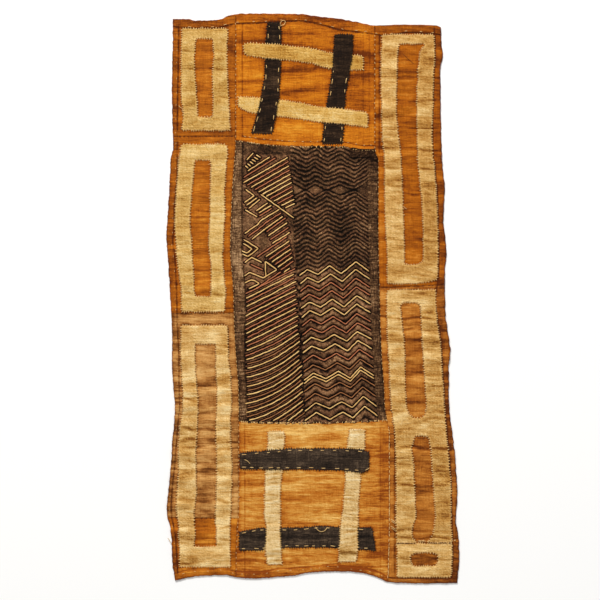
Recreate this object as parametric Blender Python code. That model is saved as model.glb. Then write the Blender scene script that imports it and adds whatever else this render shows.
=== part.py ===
"""Kuba raffia cloth, pieced and applied, lying face up on a flat surface.

Nine ground cloths are sewn edge to edge: a left strip of four, a right strip
of two, and between them a top panel, a dark embroidered panel and a bottom
panel.  Cream frames, cut out in windows, lie on the side strips, and black and
cream strips cross over and under each other on the top and bottom panels.

Frame: X across the cloth, +Y towards its top edge, +Z up, origin under the
middle of the cloth on the surface it lies on.  Tables are in millimetres.
"""

import bpy
import bmesh
from collections import namedtuple
from mathutils import Vector
from mathutils.geometry import delaunay_2d_cdt

# ---------------------------------------------------------------- dimensions
MM = 0.001            # tables are in millimetres
CLOTH = 1.0           # thickness of one layer of raffia cloth
GAP = 0.3             # air between two cloths that touch
LAYER = CLOTH + GAP   # rise of one cloth lying on another
RAMP = 9.0            # width over which a ripple dies out beside a seam
CLIMB = 6.0           # length over which a strip climbs onto another
MERGE = 0.05          # points closer than this are one

HEM_TOP = 14.0        # folded to the front along the top edge
HEM_LEFT = 10.0       # left edge
HEM_LEFT_MID = 12.0   # left edge of the second cloth, folded deeper
HEM_FOOT = 8.0        # left edge of the foot cloth
HEM_RIGHT = 8.0       # right edge
HEM_BOTTOM = 12.0     # bottom edge
HEM_BOTTOM_RIGHT = 7.0

ORANGE = (0.56, 0.20, 0.03)
RUST = (0.45, 0.15, 0.025)
TAN = (0.42, 0.21, 0.06)
GOLD = (0.62, 0.27, 0.05)
DARK = (0.045, 0.028, 0.018)
CREAM = (0.62, 0.41, 0.14)
BLACK = (0.018, 0.013, 0.010)

# -------------------------------------------------------------------- tables
Down = namedtuple("Down", "y x")              # a line that runs down the cloth
Across = namedtuple("Across", "x y")          # a line that runs across it
Side = namedtuple("Side", "y left right")     # a row of a piece that runs down
Band = namedtuple("Band", "x top bottom")     # a column of one that runs across
Ripple = namedtuple("Ripple", "y half rise")  # crest, half width and height

# The free left edge, from the top edge to the bottom edge.
LEFT_EDGE = [
    Down(562, -280), Down(521, -280), Down(413, -282), Down(329, -280),
    Down(307, -279), Down(279, -284), Down(219, -287), Down(155, -291),
    Down(121, -293), Down(97, -291), Down(35, -287), Down(1, -285),
    Down(-63, -282), Down(-141, -281), Down(-227, -276), Down(-283, -281),
    Down(-331, -284), Down(-387, -289), Down(-421, -292), Down(-438, -291),
    Down(-450, -287), Down(-477, -283), Down(-529, -281), Down(-566, -275),
]
# The free right edge.
RIGHT_EDGE = [
    Down(545, 256), Down(512, 257), Down(488, 260), Down(460, 255),
    Down(353, 256), Down(253, 260), Down(222, 264), Down(165, 261),
    Down(89, 267), Down(53, 264), Down(-23, 265), Down(-61, 269),
    Down(-103, 275), Down(-137, 272), Down(-201, 272), Down(-247, 276),
    Down(-275, 280), Down(-321, 285), Down(-397, 289), Down(-443, 286),
    Down(-473, 291), Down(-515, 293), Down(-547, 291), Down(-570, 289),
]
TOP_EDGE = [
    Across(-282, 559), Across(-252, 559), Across(-236, 556), Across(-211, 556),
    Across(-187, 558), Across(-164, 567), Across(-133, 570), Across(-26, 569),
    Across(12, 564), Across(50, 560), Across(88, 553), Across(127, 546),
    Across(188, 548), Across(245, 546), Across(260, 541),
]
BOTTOM_EDGE = [
    Across(-278, -565), Across(-252, -559), Across(-225, -555),
    Across(-176, -553), Across(-152, -558), Across(-122, -560),
    Across(-68, -557), Across(-40, -555), Across(-11, -549), Across(39, -546),
    Across(66, -546), Across(104, -550), Across(134, -560), Across(150, -567),
    Across(218, -570), Across(292, -569),
]
# The seam between the left strip and the middle panels, and the right one.
SEAM_LEFT = [
    Down(570, -154), Down(317, -154), Down(247, -159), Down(190, -162),
    Down(100, -165), Down(19, -159), Down(-51, -157), Down(-107, -154),
    Down(-171, -149), Down(-211, -148), Down(-413, -148), Down(-483, -152),
    Down(-560, -154),
]
SEAM_RIGHT = [
    Down(550, 124), Down(297, 124), Down(275, 131), Down(137, 131),
    Down(29, 133), Down(-53, 135), Down(-117, 138), Down(-175, 142),
    Down(-217, 144), Down(-241, 148), Down(-271, 153), Down(-443, 153),
    Down(-570, 150),
]
# Cross seams: two of the middle panels, three of the left strip, one right.
SEAM_PANEL_TOP = [
    Across(-166, 318), Across(-140, 314), Across(-88, 307), Across(-8, 303),
    Across(56, 303), Across(103, 296), Across(135, 296),
]
SEAM_PANEL_BOTTOM = [
    Across(-152, -246), Across(-92, -249), Across(32, -249), Across(78, -247),
    Across(155, -243),
]
SEAM_LEFT_1 = [Across(-300, 324), Across(-150, 325)]
SEAM_LEFT_2 = [Across(-300, -30), Across(-150, -29)]
SEAM_LEFT_3 = [Across(-300, -438), Across(-150, -440)]
SEAM_RIGHT_1 = [Across(120, 21), Across(280, 28)]

# Low ripples across the side strips, which are fuller than the middle panels
# they are sewn to.  Between them the cloth lies flat on the surface.
RIPPLES_LEFT = [
    Ripple(477, 16, 1.0), Ripple(389, 16, 1.2), Ripple(209, 20, 1.2),
    Ripple(125, 22, 1.4), Ripple(27, 16, 1.4), Ripple(-125, 22, 1.4),
    Ripple(-187, 13, 1.8), Ripple(-217, 13, 1.8), Ripple(-247, 13, 2.0),
    Ripple(-313, 17, 2.8), Ripple(-365, 17, 2.2), Ripple(-413, 14, 2.0),
    Ripple(-469, 15, 2.0), Ripple(-513, 15, 1.4),
]
RIPPLES_RIGHT = [
    Ripple(459, 16, 1.0), Ripple(381, 18, 1.2), Ripple(281, 18, 1.0),
    Ripple(-47, 15, 1.5), Ripple(-81, 15, 1.6), Ripple(-120, 17, 1.8),
    Ripple(-171, 16, 1.4), Ripple(-209, 14, 1.2), Ripple(-313, 18, 1.8),
    Ripple(-377, 17, 1.4), Ripple(-451, 15, 1.4), Ripple(-510, 15, 1.2),
]

# Cream frames: the outside, then one table for each window.
FRAME_LEFT_TOP = [
    Side(540, -262, -170), Side(491, -263, -172), Side(447, -263, -171),
    Side(401, -263, -169), Side(373, -259, -167), Side(335, -262, -166),
]
WINDOW_LEFT_TOP = [
    Side(519, -233, -201), Side(481, -236, -199), Side(447, -235, -202),
    Side(401, -232, -200), Side(362, -229, -201),
]
FRAME_LEFT_MID = [
    Side(308, -262, -176), Side(303, -264, -171), Side(281, -267, -172),
    Side(247, -270, -175), Side(213, -273, -177), Side(167, -275, -176),
    Side(143, -276, -178), Side(109, -273, -180), Side(87, -272, -181),
    Side(53, -268, -179), Side(13, -263, -175), Side(-27, -262, -177),
]
WINDOW_LEFT_MID = [
    Side(276, -235, -205), Side(247, -238, -205), Side(213, -241, -206),
    Side(155, -245, -207), Side(115, -242, -209), Side(53, -238, -204),
    Side(4, -235, -205),
]
FRAME_LEFT_LOW = [
    Side(-54, -263, -171), Side(-107, -264, -170), Side(-153, -262, -165),
    Side(-211, -260, -163), Side(-255, -265, -165), Side(-297, -269, -164),
    Side(-343, -268, -162), Side(-413, -273, -164), Side(-461, -268, -166),
    Side(-501, -267, -166), Side(-538, -266, -165),
]
WINDOW_LEFT_LOW = [
    Side(-92, -235, -195), Side(-131, -234, -195), Side(-183, -231, -193),
    Side(-211, -229, -193), Side(-253, -230, -195), Side(-313, -233, -193),
    Side(-383, -232, -194), Side(-437, -237, -196), Side(-471, -234, -194),
    Side(-497, -237, -194),
]
FRAME_RIGHT_TOP = [
    Side(528, 139, 242), Side(489, 137, 244), Side(445, 136, 241),
    Side(383, 138, 240), Side(329, 139, 238), Side(291, 143, 240),
    Side(253, 144, 244), Side(195, 144, 248), Side(137, 146, 250),
    Side(81, 149, 250), Side(38, 149, 248), Side(29, 149, 200),
]
WINDOW_RIGHT_TOP = [
    Side(508, 173, 223), Side(493, 171, 214), Side(445, 169, 209),
    Side(383, 168, 207), Side(337, 171, 208), Side(279, 177, 209),
    Side(195, 181, 217), Side(137, 183, 220), Side(75, 184, 220),
    Side(68, 184, 204),
]
FRAME_RIGHT_LOW = [
    Side(17, 152, 246), Side(11, 148, 246), Side(-41, 149, 248),
    Side(-87, 150, 255), Side(-137, 153, 258), Side(-205, 156, 262),
    Side(-247, 161, 265), Side(-279, 165, 268), Side(-329, 166, 272),
    Side(-385, 167, 276), Side(-435, 167, 276), Side(-489, 168, 279),
]
WINDOW_RIGHT_LOW = [
    Side(-9, 182, 208), Side(-16, 176, 214), Side(-61, 181, 217),
    Side(-117, 185, 220), Side(-163, 186, 223), Side(-209, 188, 226),
    Side(-229, 192, 225), Side(-239, 202, 215),
]
NOTCH_RIGHT_LOW = [
    Side(-273, 204, 230), Side(-301, 198, 236), Side(-335, 201, 239),
    Side(-371, 203, 241), Side(-409, 205, 244), Side(-435, 206, 246),
    Side(-459, 199, 243), Side(-477, 198, 239), Side(-495, 198, 239),
]
FRAME_RIGHT_FOOT = [
    Side(-490, 168, 279), Side(-523, 169, 278), Side(-559, 169, 276),
]
WINDOW_RIGHT_FOOT = [
    Side(-509, 206, 240), Side(-515, 196, 249), Side(-528, 196, 249),
    Side(-535, 203, 242),
]

# Strips on the top panel: two black down, two cream across.
STRIP_BLACK_A = [
    Side(553, -89, -66), Side(533, -92, -63), Side(497, -95, -64),
    Side(453, -96, -65), Side(413, -102, -67), Side(385, -107, -71),
    Side(361, -114, -75), Side(328, -124, -82),
]
STRIP_BLACK_B = [
    Side(528, 44, 81), Side(493, 42, 79), Side(453, 38, 73), Side(407, 32, 66),
    Side(381, 27, 63), Side(347, 22, 62), Side(308, 19, 59),
]
STRIP_CREAM_A = [
    Band(-138, 505, 491), Band(-118, 510, 485), Band(-88, 509, 480),
    Band(-42, 504, 476), Band(-8, 501, 472), Band(34, 491, 460),
    Band(74, 487, 458), Band(101, 485, 457),
]
STRIP_CREAM_B = [
    Band(-150, 404, 386), Band(-130, 403, 374), Band(-72, 398, 365),
    Band(-32, 392, 360), Band(14, 383, 353), Band(58, 379, 350),
    Band(110, 371, 342),
]
# Strips on the bottom panel: two black across, two cream down.
STRIP_BLACK_UPPER = [
    Band(-146, -309, -341), Band(-98, -305, -342), Band(-28, -300, -342),
    Band(32, -300, -343), Band(72, -301, -345), Band(100, -303, -348),
    Band(113, -308, -343),
]
STRIP_BLACK_LOWER = [
    Band(-147, -467, -504), Band(-98, -459, -503), Band(-40, -459, -498),
    Band(20, -455, -498), Band(58, -458, -500), Band(117, -458, -504),
    Band(125, -500, -506),
]
STRIP_CREAM_C = [
    Side(-265, -89, -56), Side(-303, -91, -58), Side(-345, -94, -62),
    Side(-403, -96, -65), Side(-431, -97, -65), Side(-461, -92, -66),
    Side(-501, -94, -64), Side(-533, -91, -62),
]
STRIP_CREAM_D = [
    Side(-261, 74, 104), Side(-297, 69, 103), Side(-349, 66, 96),
    Side(-405, 62, 92), Side(-455, 56, 90), Side(-501, 53, 89),
    Side(-527, 51, 86),
]


# ------------------------------------------------------------------ geometry
def at(line, s):
    """Value of a border line at s: straight between its rows."""
    rows = sorted((row[0], row[1]) for row in line)
    if s <= rows[0][0]:
        return rows[0][1]
    for (a, u), (b, v) in zip(rows, rows[1:]):
        if s <= b:
            return u + (v - u) * (s - a) / (b - a)
    return rows[-1][1]


def moved(line, step):
    """The same border line, its value moved by step."""
    return [type(row)(row[0], row[1] + step) for row in line]


def corner(side, end):
    """Where a line down the cloth meets a line across it."""
    x, y = side[0][1], end[0][1]
    for _ in range(8):
        y = at(end, x)
        x = at(side, y)
    return x, y


def panel_outline(left, right, top, bottom):
    """Closed outline of a ground cloth between its four border lines."""
    tl, tr = corner(left, top), corner(right, top)
    bl, br = corner(left, bottom), corner(right, bottom)
    down = sorted(((r.x, r.y) for r in left if bl[1] + 3 < r.y < tl[1] - 3),
                  key=lambda p: -p[1])
    up = sorted(((r.x, r.y) for r in right if br[1] + 3 < r.y < tr[1] - 3),
                key=lambda p: p[1])
    out = sorted((r.x, r.y) for r in bottom if bl[0] + 3 < r.x < br[0] - 3)
    back = sorted(((r.x, r.y) for r in top if tl[0] + 3 < r.x < tr[0] - 3),
                  reverse=True)
    return [tl] + down + [bl] + out + [br] + up + [tr] + back


def side_outline(rows):
    """Closed outline of a piece given by rows down the cloth."""
    return ([(r.left, r.y) for r in rows]
            + [(r.right, r.y) for r in reversed(rows)])


def band_outline(rows):
    """Closed outline of a piece given by columns across the cloth."""
    return ([(r.x, r.bottom) for r in rows]
            + [(r.x, r.top) for r in reversed(rows)])


def inside(point, loop):
    """Even-odd test of a point against a closed outline."""
    x, y = point
    hit = False
    for (ax, ay), (bx, by) in zip(loop, loop[1:] + loop[:1]):
        if (ay > y) != (by > y) and x < ax + (bx - ax) * (y - ay) / (by - ay):
            hit = not hit
    return hit


def ripple(table, y):
    """Height of the nearest ripple at y: a tent of straight sides."""
    return max([0.0] + [r.rise * (1 - abs(y - r.y) / r.half) for r in table
                        if abs(y - r.y) < r.half])


def relief(x, y):
    """Height of the ground's underside over the surface."""
    seam_l, seam_r = at(SEAM_LEFT, y), at(SEAM_RIGHT, y)
    if x < seam_l:
        return ripple(RIPPLES_LEFT, y) * min(1.0, (seam_l - x) / RAMP)
    if x > seam_r:
        return ripple(RIPPLES_RIGHT, y) * min(1.0, (x - seam_r) / RAMP)
    return 0.0


def ripple_lines(table, x0, x1, y0, y1):
    """Fold lines of the ripples between y0 and y1: two feet and the crest."""
    lines = []
    for r in table:
        for y in (r.y - r.half, r.y, r.y + r.half):
            if y0 < y < y1:
                lines.append([(x0, y), (x1, y)])
    return lines


def make_material(name, colour):
    mat = bpy.data.materials.new(name)
    mat.use_nodes = True
    bsdf = mat.node_tree.nodes["Principled BSDF"]
    bsdf.inputs["Base Color"].default_value = (*colour, 1.0)
    bsdf.inputs["Roughness"].default_value = 0.85
    bsdf.inputs["Metallic"].default_value = 0.0
    return mat


def make_sheet(name, colour, outline, windows=(), folds=(), under=None,
               hem=None):
    """One cloth: its outline cut by the fold lines, raised to its height,
    extruded to its thickness, and its hem extruded once more."""
    points, edges = [], []

    def add(path, closed):
        start = len(points)
        points.extend(Vector(p) for p in path)
        count = len(path)
        edges.extend((start + i, start + (i + 1) % count)
                     for i in range(count if closed else count - 1))

    add(outline, True)
    for window in windows:
        add(window, True)
    for fold in folds:
        add(fold, False)
    flat, _, faces, *_ = delaunay_2d_cdt(points, edges, [], 0, MERGE)

    bm = bmesh.new()
    verts = [None] * len(flat)
    for face in faces:
        mid = (sum(flat[i][0] for i in face) / len(face),
               sum(flat[i][1] for i in face) / len(face))
        if not inside(mid, outline) or any(inside(mid, w) for w in windows):
            continue
        for i in face:
            if verts[i] is None:
                x, y = flat[i]
                verts[i] = bm.verts.new((x, y, under(x, y)))
        bm.faces.new([verts[i] for i in face])
    base = bm.faces[:]
    out = bmesh.ops.extrude_face_region(bm, geom=base, use_keep_orig=True)
    raised = [v for v in out["geom"] if isinstance(v, bmesh.types.BMVert)]
    bmesh.ops.translate(bm, verts=raised, vec=(0, 0, CLOTH))
    if hem is not None:
        tops = [f for f in out["geom"] if isinstance(f, bmesh.types.BMFace)]
        fold_over = [f for f in tops if hem(*f.calc_center_median().xy)]
        out = bmesh.ops.extrude_face_region(bm, geom=fold_over)
        raised = [v for v in out["geom"] if isinstance(v, bmesh.types.BMVert)]
        bmesh.ops.translate(bm, verts=raised, vec=(0, 0, CLOTH))
        bmesh.ops.delete(bm, geom=fold_over, context="FACES")
    bmesh.ops.triangulate(bm, faces=bm.faces[:])
    bmesh.ops.recalc_face_normals(bm, faces=bm.faces[:])
    bmesh.ops.scale(bm, vec=(MM, MM, MM), verts=bm.verts[:])

    mesh = bpy.data.meshes.new(name)
    bm.to_mesh(mesh)
    bm.free()
    mesh.materials.append(make_material(name + "_cloth", colour))
    obj = bpy.data.objects.new(name, mesh)
    bpy.context.scene.collection.objects.link(obj)
    obj.parent = CLOTH_ROOT
    return obj


def ground(name, colour, left, right, top, bottom, hems, ripples=None,
           seam_side=None):
    """A ground cloth.  hems holds the hem width on each free side."""
    outline = panel_outline(left, right, top, bottom)
    xs = [p[0] for p in outline]
    ys = [p[1] for p in outline]
    x0, x1, y0, y1 = min(xs) - 2, max(xs) + 2, min(ys) - 2, max(ys) + 2
    folds = []
    if ripples:
        folds += ripple_lines(ripples, x0, x1, y0, y1)
        step = -RAMP if seam_side is SEAM_LEFT else RAMP
        folds.append([(r.x + step, r.y) for r in seam_side
                      if y0 - 90 < r.y < y1 + 90])
    hem_lines = {
        "left": moved(left, hems.get("left", 0)),
        "right": moved(right, -hems.get("right", 0)),
        "top": moved(top, -hems.get("top", 0)),
        "bottom": moved(bottom, hems.get("bottom", 0)),
    }
    for side in hems:
        line = hem_lines[side]
        if side in ("left", "right"):
            folds.append([(r.x, r.y) for r in line if y0 - 90 < r.y < y1 + 90])
        else:
            folds.append([(r.x, r.y) for r in line if x0 - 90 < r.x < x1 + 90])

    def in_hem(x, y):
        return (("left" in hems and x < at(hem_lines["left"], y))
                or ("right" in hems and x > at(hem_lines["right"], y))
                or ("top" in hems and y > at(hem_lines["top"], x))
                or ("bottom" in hems and y < at(hem_lines["bottom"], x)))

    return make_sheet(name, colour, outline, folds=folds, under=relief,
                      hem=in_hem if hems else None)


def frame(name, rows, windows, ripples):
    """A cream frame on a side strip, following the ripples under it."""
    outline = side_outline(rows)
    x0, x1 = min(p[0] for p in outline) - 2, max(p[0] for p in outline) + 2
    folds = ripple_lines(ripples, x0, x1, rows[-1].y, rows[0].y)
    return make_sheet(name, CREAM, outline,
                      windows=[side_outline(w) for w in windows], folds=folds,
                      under=lambda x, y: relief(x, y) + LAYER)


def strip(name, colour, rows, climbs=()):
    """A strip on a middle panel.  climbs holds, for each strip it crosses
    over, the stretch of its own length that lies on that strip."""
    runs_down = isinstance(rows[0], Side)
    outline = side_outline(rows) if runs_down else band_outline(rows)
    x0, x1 = min(p[0] for p in outline) - 2, max(p[0] for p in outline) + 2
    y0, y1 = min(p[1] for p in outline) - 2, max(p[1] for p in outline) + 2
    folds = []
    for low, high in climbs:
        for s in (low - CLIMB, low, high, high + CLIMB):
            folds.append([(x0, s), (x1, s)] if runs_down
                         else [(s, y0), (s, y1)])

    def under(x, y):
        s = y if runs_down else x
        over = 0.0
        for low, high in climbs:
            away = max(low - s, s - high, 0.0)
            over = max(over, 1.0 - away / CLIMB)
        return relief(x, y) + LAYER * (1 + over)

    return make_sheet(name, colour, outline, folds=folds, under=under)


# --------------------------------------------------------------------- model
for old in list(bpy.data.objects):
    bpy.data.objects.remove(old, do_unlink=True)

CLOTH_ROOT = bpy.data.objects.new("cloth", None)
bpy.context.scene.collection.objects.link(CLOTH_ROOT)

HALF = GAP / 2
left_of_seam = moved(SEAM_LEFT, -HALF)
right_of_seam = moved(SEAM_LEFT, HALF)
inner_of_right = moved(SEAM_RIGHT, -HALF)
outer_of_right = moved(SEAM_RIGHT, HALF)

# Left strip, top to bottom.
ground("ground_left_top", ORANGE, LEFT_EDGE, left_of_seam, TOP_EDGE,
       moved(SEAM_LEFT_1, HALF), {"left": HEM_LEFT, "top": HEM_TOP},
       RIPPLES_LEFT, SEAM_LEFT)
ground("ground_left_mid", ORANGE, LEFT_EDGE, left_of_seam,
       moved(SEAM_LEFT_1, -HALF), moved(SEAM_LEFT_2, HALF),
       {"left": HEM_LEFT_MID}, RIPPLES_LEFT, SEAM_LEFT)
ground("ground_left_low", TAN, LEFT_EDGE, left_of_seam,
       moved(SEAM_LEFT_2, -HALF), moved(SEAM_LEFT_3, HALF),
       {"left": HEM_LEFT}, RIPPLES_LEFT, SEAM_LEFT)
ground("ground_left_foot", ORANGE, LEFT_EDGE, left_of_seam,
       moved(SEAM_LEFT_3, -HALF), BOTTOM_EDGE,
       {"left": HEM_FOOT, "bottom": HEM_BOTTOM}, RIPPLES_LEFT, SEAM_LEFT)

# Right strip.
ground("ground_right_top", RUST, outer_of_right, RIGHT_EDGE, TOP_EDGE,
       moved(SEAM_RIGHT_1, HALF), {"right": HEM_RIGHT, "top": HEM_TOP},
       RIPPLES_RIGHT, SEAM_RIGHT)
ground("ground_right_low", RUST, outer_of_right, RIGHT_EDGE,
       moved(SEAM_RIGHT_1, -HALF), BOTTOM_EDGE,
       {"right": HEM_RIGHT, "bottom": HEM_BOTTOM_RIGHT},
       RIPPLES_RIGHT, SEAM_RIGHT)

# Middle panels.
ground("panel_top", ORANGE, right_of_seam, inner_of_right, TOP_EDGE,
       moved(SEAM_PANEL_TOP, HALF), {"top": HEM_TOP})
ground("panel_dark", DARK, right_of_seam, inner_of_right,
       moved(SEAM_PANEL_TOP, -HALF), moved(SEAM_PANEL_BOTTOM, HALF), {})
ground("panel_bottom", GOLD, right_of_seam, inner_of_right,
       moved(SEAM_PANEL_BOTTOM, -HALF), BOTTOM_EDGE, {"bottom": HEM_BOTTOM})

# Cream frames.
frame("frame_left_top", FRAME_LEFT_TOP, [WINDOW_LEFT_TOP], RIPPLES_LEFT)
frame("frame_left_mid", FRAME_LEFT_MID, [WINDOW_LEFT_MID], RIPPLES_LEFT)
frame("frame_left_low", FRAME_LEFT_LOW, [WINDOW_LEFT_LOW], RIPPLES_LEFT)
frame("frame_right_top", FRAME_RIGHT_TOP, [WINDOW_RIGHT_TOP], RIPPLES_RIGHT)
frame("frame_right_low", FRAME_RIGHT_LOW,
      [WINDOW_RIGHT_LOW, NOTCH_RIGHT_LOW], RIPPLES_RIGHT)
frame("frame_right_foot", FRAME_RIGHT_FOOT, [WINDOW_RIGHT_FOOT],
      RIPPLES_RIGHT)

# Strips of the top panel: each crosses over one and under the other.
strip("strip_black_a", BLACK, STRIP_BLACK_A, [(361, 405)])
strip("strip_black_b", BLACK, STRIP_BLACK_B, [(455, 494)])
strip("strip_cream_a", CREAM, STRIP_CREAM_A, [(-99, -61)])
strip("strip_cream_b", CREAM, STRIP_CREAM_B, [(19, 66)])

# Strips of the bottom panel: the upper black one lies on both cream ones,
# which lie on the lower black one.
strip("strip_black_upper", BLACK, STRIP_BLACK_UPPER, [(-97, -55), (63, 106)])
strip("strip_black_lower", BLACK, STRIP_BLACK_LOWER)
strip("strip_cream_c", CREAM, STRIP_CREAM_C, [(-506, -456)])
strip("strip_cream_d", CREAM, STRIP_CREAM_D, [(-506, -453)])
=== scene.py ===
"""Kuba raffia cloth, seen face on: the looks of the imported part.

Every cloth is a thin closed sheet cut from the same tables as its solid, with
its ripples, hems, seams and stitches.  Tables are in millimetres, in the
part's own frame: X across, +Y to the top edge, +Z up out of the face.
"""

import bpy
import math
import numpy as np
from collections import namedtuple
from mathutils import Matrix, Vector
from mathutils.geometry import delaunay_2d_cdt
from mathutils.kdtree import KDTree


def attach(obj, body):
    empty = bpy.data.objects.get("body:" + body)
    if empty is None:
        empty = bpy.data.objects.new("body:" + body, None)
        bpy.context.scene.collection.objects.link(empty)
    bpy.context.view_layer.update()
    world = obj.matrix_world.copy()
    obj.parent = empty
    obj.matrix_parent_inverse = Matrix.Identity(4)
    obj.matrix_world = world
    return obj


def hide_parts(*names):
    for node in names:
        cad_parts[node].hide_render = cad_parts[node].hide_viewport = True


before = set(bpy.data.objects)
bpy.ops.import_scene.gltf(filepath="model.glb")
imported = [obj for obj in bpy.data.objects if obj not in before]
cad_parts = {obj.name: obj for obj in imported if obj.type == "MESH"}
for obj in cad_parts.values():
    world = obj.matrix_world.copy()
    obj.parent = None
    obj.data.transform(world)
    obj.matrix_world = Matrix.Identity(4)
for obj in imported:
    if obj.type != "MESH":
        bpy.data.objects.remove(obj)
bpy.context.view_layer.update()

MM = 0.001
RAMP = 9.0            # width over which a ripple dies out beside a seam
CLOTH = 1.0           # thickness of one layer of cloth
CLIMB = 7.0           # length over which a strip climbs onto another

# -------------------------------------------------------------------- tables
Down = namedtuple("Down", "y x")              # a line that runs down the cloth
Across = namedtuple("Across", "x y")          # a line that runs across it
Side = namedtuple("Side", "y left right")     # a row of a piece that runs down
Band = namedtuple("Band", "x top bottom")     # a column of one that runs across
Ripple = namedtuple("Ripple", "y half rise")  # crest, half width and height

# The free left edge, from the top edge to the bottom edge.
LEFT_EDGE = [
    Down(562, -280), Down(521, -280), Down(413, -282), Down(329, -280),
    Down(307, -279), Down(279, -284), Down(219, -287), Down(155, -291),
    Down(121, -293), Down(97, -291), Down(35, -287), Down(1, -285),
    Down(-63, -282), Down(-141, -281), Down(-227, -276), Down(-283, -281),
    Down(-331, -284), Down(-387, -289), Down(-421, -292), Down(-438, -291),
    Down(-450, -287), Down(-477, -283), Down(-529, -281), Down(-566, -275),
]
# The free right edge.
RIGHT_EDGE = [
    Down(545, 256), Down(512, 257), Down(488, 260), Down(460, 255),
    Down(353, 256), Down(253, 260), Down(222, 264), Down(165, 261),
    Down(89, 267), Down(53, 264), Down(-23, 265), Down(-61, 269),
    Down(-103, 275), Down(-137, 272), Down(-201, 272), Down(-247, 276),
    Down(-275, 280), Down(-321, 285), Down(-397, 289), Down(-443, 286),
    Down(-473, 291), Down(-515, 293), Down(-547, 291), Down(-570, 289),
]
TOP_EDGE = [
    Across(-282, 559), Across(-252, 559), Across(-236, 556), Across(-211, 556),
    Across(-187, 558), Across(-164, 567), Across(-133, 570), Across(-26, 569),
    Across(12, 564), Across(50, 560), Across(88, 553), Across(127, 546),
    Across(188, 548), Across(245, 546), Across(260, 541),
]
BOTTOM_EDGE = [
    Across(-278, -565), Across(-252, -559), Across(-225, -555),
    Across(-176, -553), Across(-152, -558), Across(-122, -560),
    Across(-68, -557), Across(-40, -555), Across(-11, -549), Across(39, -546),
    Across(66, -546), Across(104, -550), Across(134, -560), Across(150, -567),
    Across(218, -570), Across(292, -569),
]
# The seam between the left strip and the middle panels, and the right one.
SEAM_LEFT = [
    Down(570, -154), Down(317, -154), Down(247, -159), Down(190, -162),
    Down(100, -165), Down(19, -159), Down(-51, -157), Down(-107, -154),
    Down(-171, -149), Down(-211, -148), Down(-413, -148), Down(-483, -152),
    Down(-560, -154),
]
SEAM_RIGHT = [
    Down(550, 124), Down(297, 124), Down(275, 131), Down(137, 131),
    Down(29, 133), Down(-53, 135), Down(-117, 138), Down(-175, 142),
    Down(-217, 144), Down(-241, 148), Down(-271, 153), Down(-443, 153),
    Down(-570, 150),
]
# Cross seams: two of the middle panels, three of the left strip, one right.
SEAM_PANEL_TOP = [
    Across(-166, 318), Across(-140, 314), Across(-88, 307), Across(-8, 303),
    Across(56, 303), Across(103, 296), Across(135, 296),
]
SEAM_PANEL_BOTTOM = [
    Across(-152, -246), Across(-92, -249), Across(32, -249), Across(78, -247),
    Across(155, -243),
]
SEAM_LEFT_1 = [Across(-300, 324), Across(-150, 325)]
SEAM_LEFT_2 = [Across(-300, -30), Across(-150, -29)]
SEAM_LEFT_3 = [Across(-300, -438), Across(-150, -440)]
SEAM_RIGHT_1 = [Across(120, 21), Across(280, 28)]

# Low ripples across the side strips, which are fuller than the middle panels
# they are sewn to.  Between them the cloth lies flat on the surface.
RIPPLES_LEFT = [
    Ripple(477, 16, 1.0), Ripple(389, 16, 1.2), Ripple(209, 20, 1.2),
    Ripple(125, 22, 1.4), Ripple(27, 16, 1.4), Ripple(-125, 22, 1.4),
    Ripple(-187, 13, 1.8), Ripple(-217, 13, 1.8), Ripple(-247, 13, 2.0),
    Ripple(-313, 17, 2.8), Ripple(-365, 17, 2.2), Ripple(-413, 14, 2.0),
    Ripple(-469, 15, 2.0), Ripple(-513, 15, 1.4),
]
RIPPLES_RIGHT = [
    Ripple(459, 16, 1.0), Ripple(381, 18, 1.2), Ripple(281, 18, 1.0),
    Ripple(-47, 15, 1.5), Ripple(-81, 15, 1.6), Ripple(-120, 17, 1.8),
    Ripple(-171, 16, 1.4), Ripple(-209, 14, 1.2), Ripple(-313, 18, 1.8),
    Ripple(-377, 17, 1.4), Ripple(-451, 15, 1.4), Ripple(-510, 15, 1.2),
]

# Cream frames: the outside, then one table for each window.
FRAME_LEFT_TOP = [
    Side(540, -262, -170), Side(491, -263, -172), Side(447, -263, -171),
    Side(401, -263, -169), Side(373, -259, -167), Side(335, -262, -166),
]
WINDOW_LEFT_TOP = [
    Side(519, -233, -201), Side(481, -236, -199), Side(447, -235, -202),
    Side(401, -232, -200), Side(362, -229, -201),
]
FRAME_LEFT_MID = [
    Side(308, -262, -176), Side(303, -264, -171), Side(281, -267, -172),
    Side(247, -270, -175), Side(213, -273, -177), Side(167, -275, -176),
    Side(143, -276, -178), Side(109, -273, -180), Side(87, -272, -181),
    Side(53, -268, -179), Side(13, -263, -175), Side(-27, -262, -177),
]
WINDOW_LEFT_MID = [
    Side(276, -235, -205), Side(247, -238, -205), Side(213, -241, -206),
    Side(155, -245, -207), Side(115, -242, -209), Side(53, -238, -204),
    Side(4, -235, -205),
]
FRAME_LEFT_LOW = [
    Side(-54, -263, -171), Side(-107, -264, -170), Side(-153, -262, -165),
    Side(-211, -260, -163), Side(-255, -265, -165), Side(-297, -269, -164),
    Side(-343, -268, -162), Side(-413, -273, -164), Side(-461, -268, -166),
    Side(-501, -267, -166), Side(-538, -266, -165),
]
WINDOW_LEFT_LOW = [
    Side(-92, -235, -195), Side(-131, -234, -195), Side(-183, -231, -193),
    Side(-211, -229, -193), Side(-253, -230, -195), Side(-313, -233, -193),
    Side(-383, -232, -194), Side(-437, -237, -196), Side(-471, -234, -194),
    Side(-497, -237, -194),
]
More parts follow.
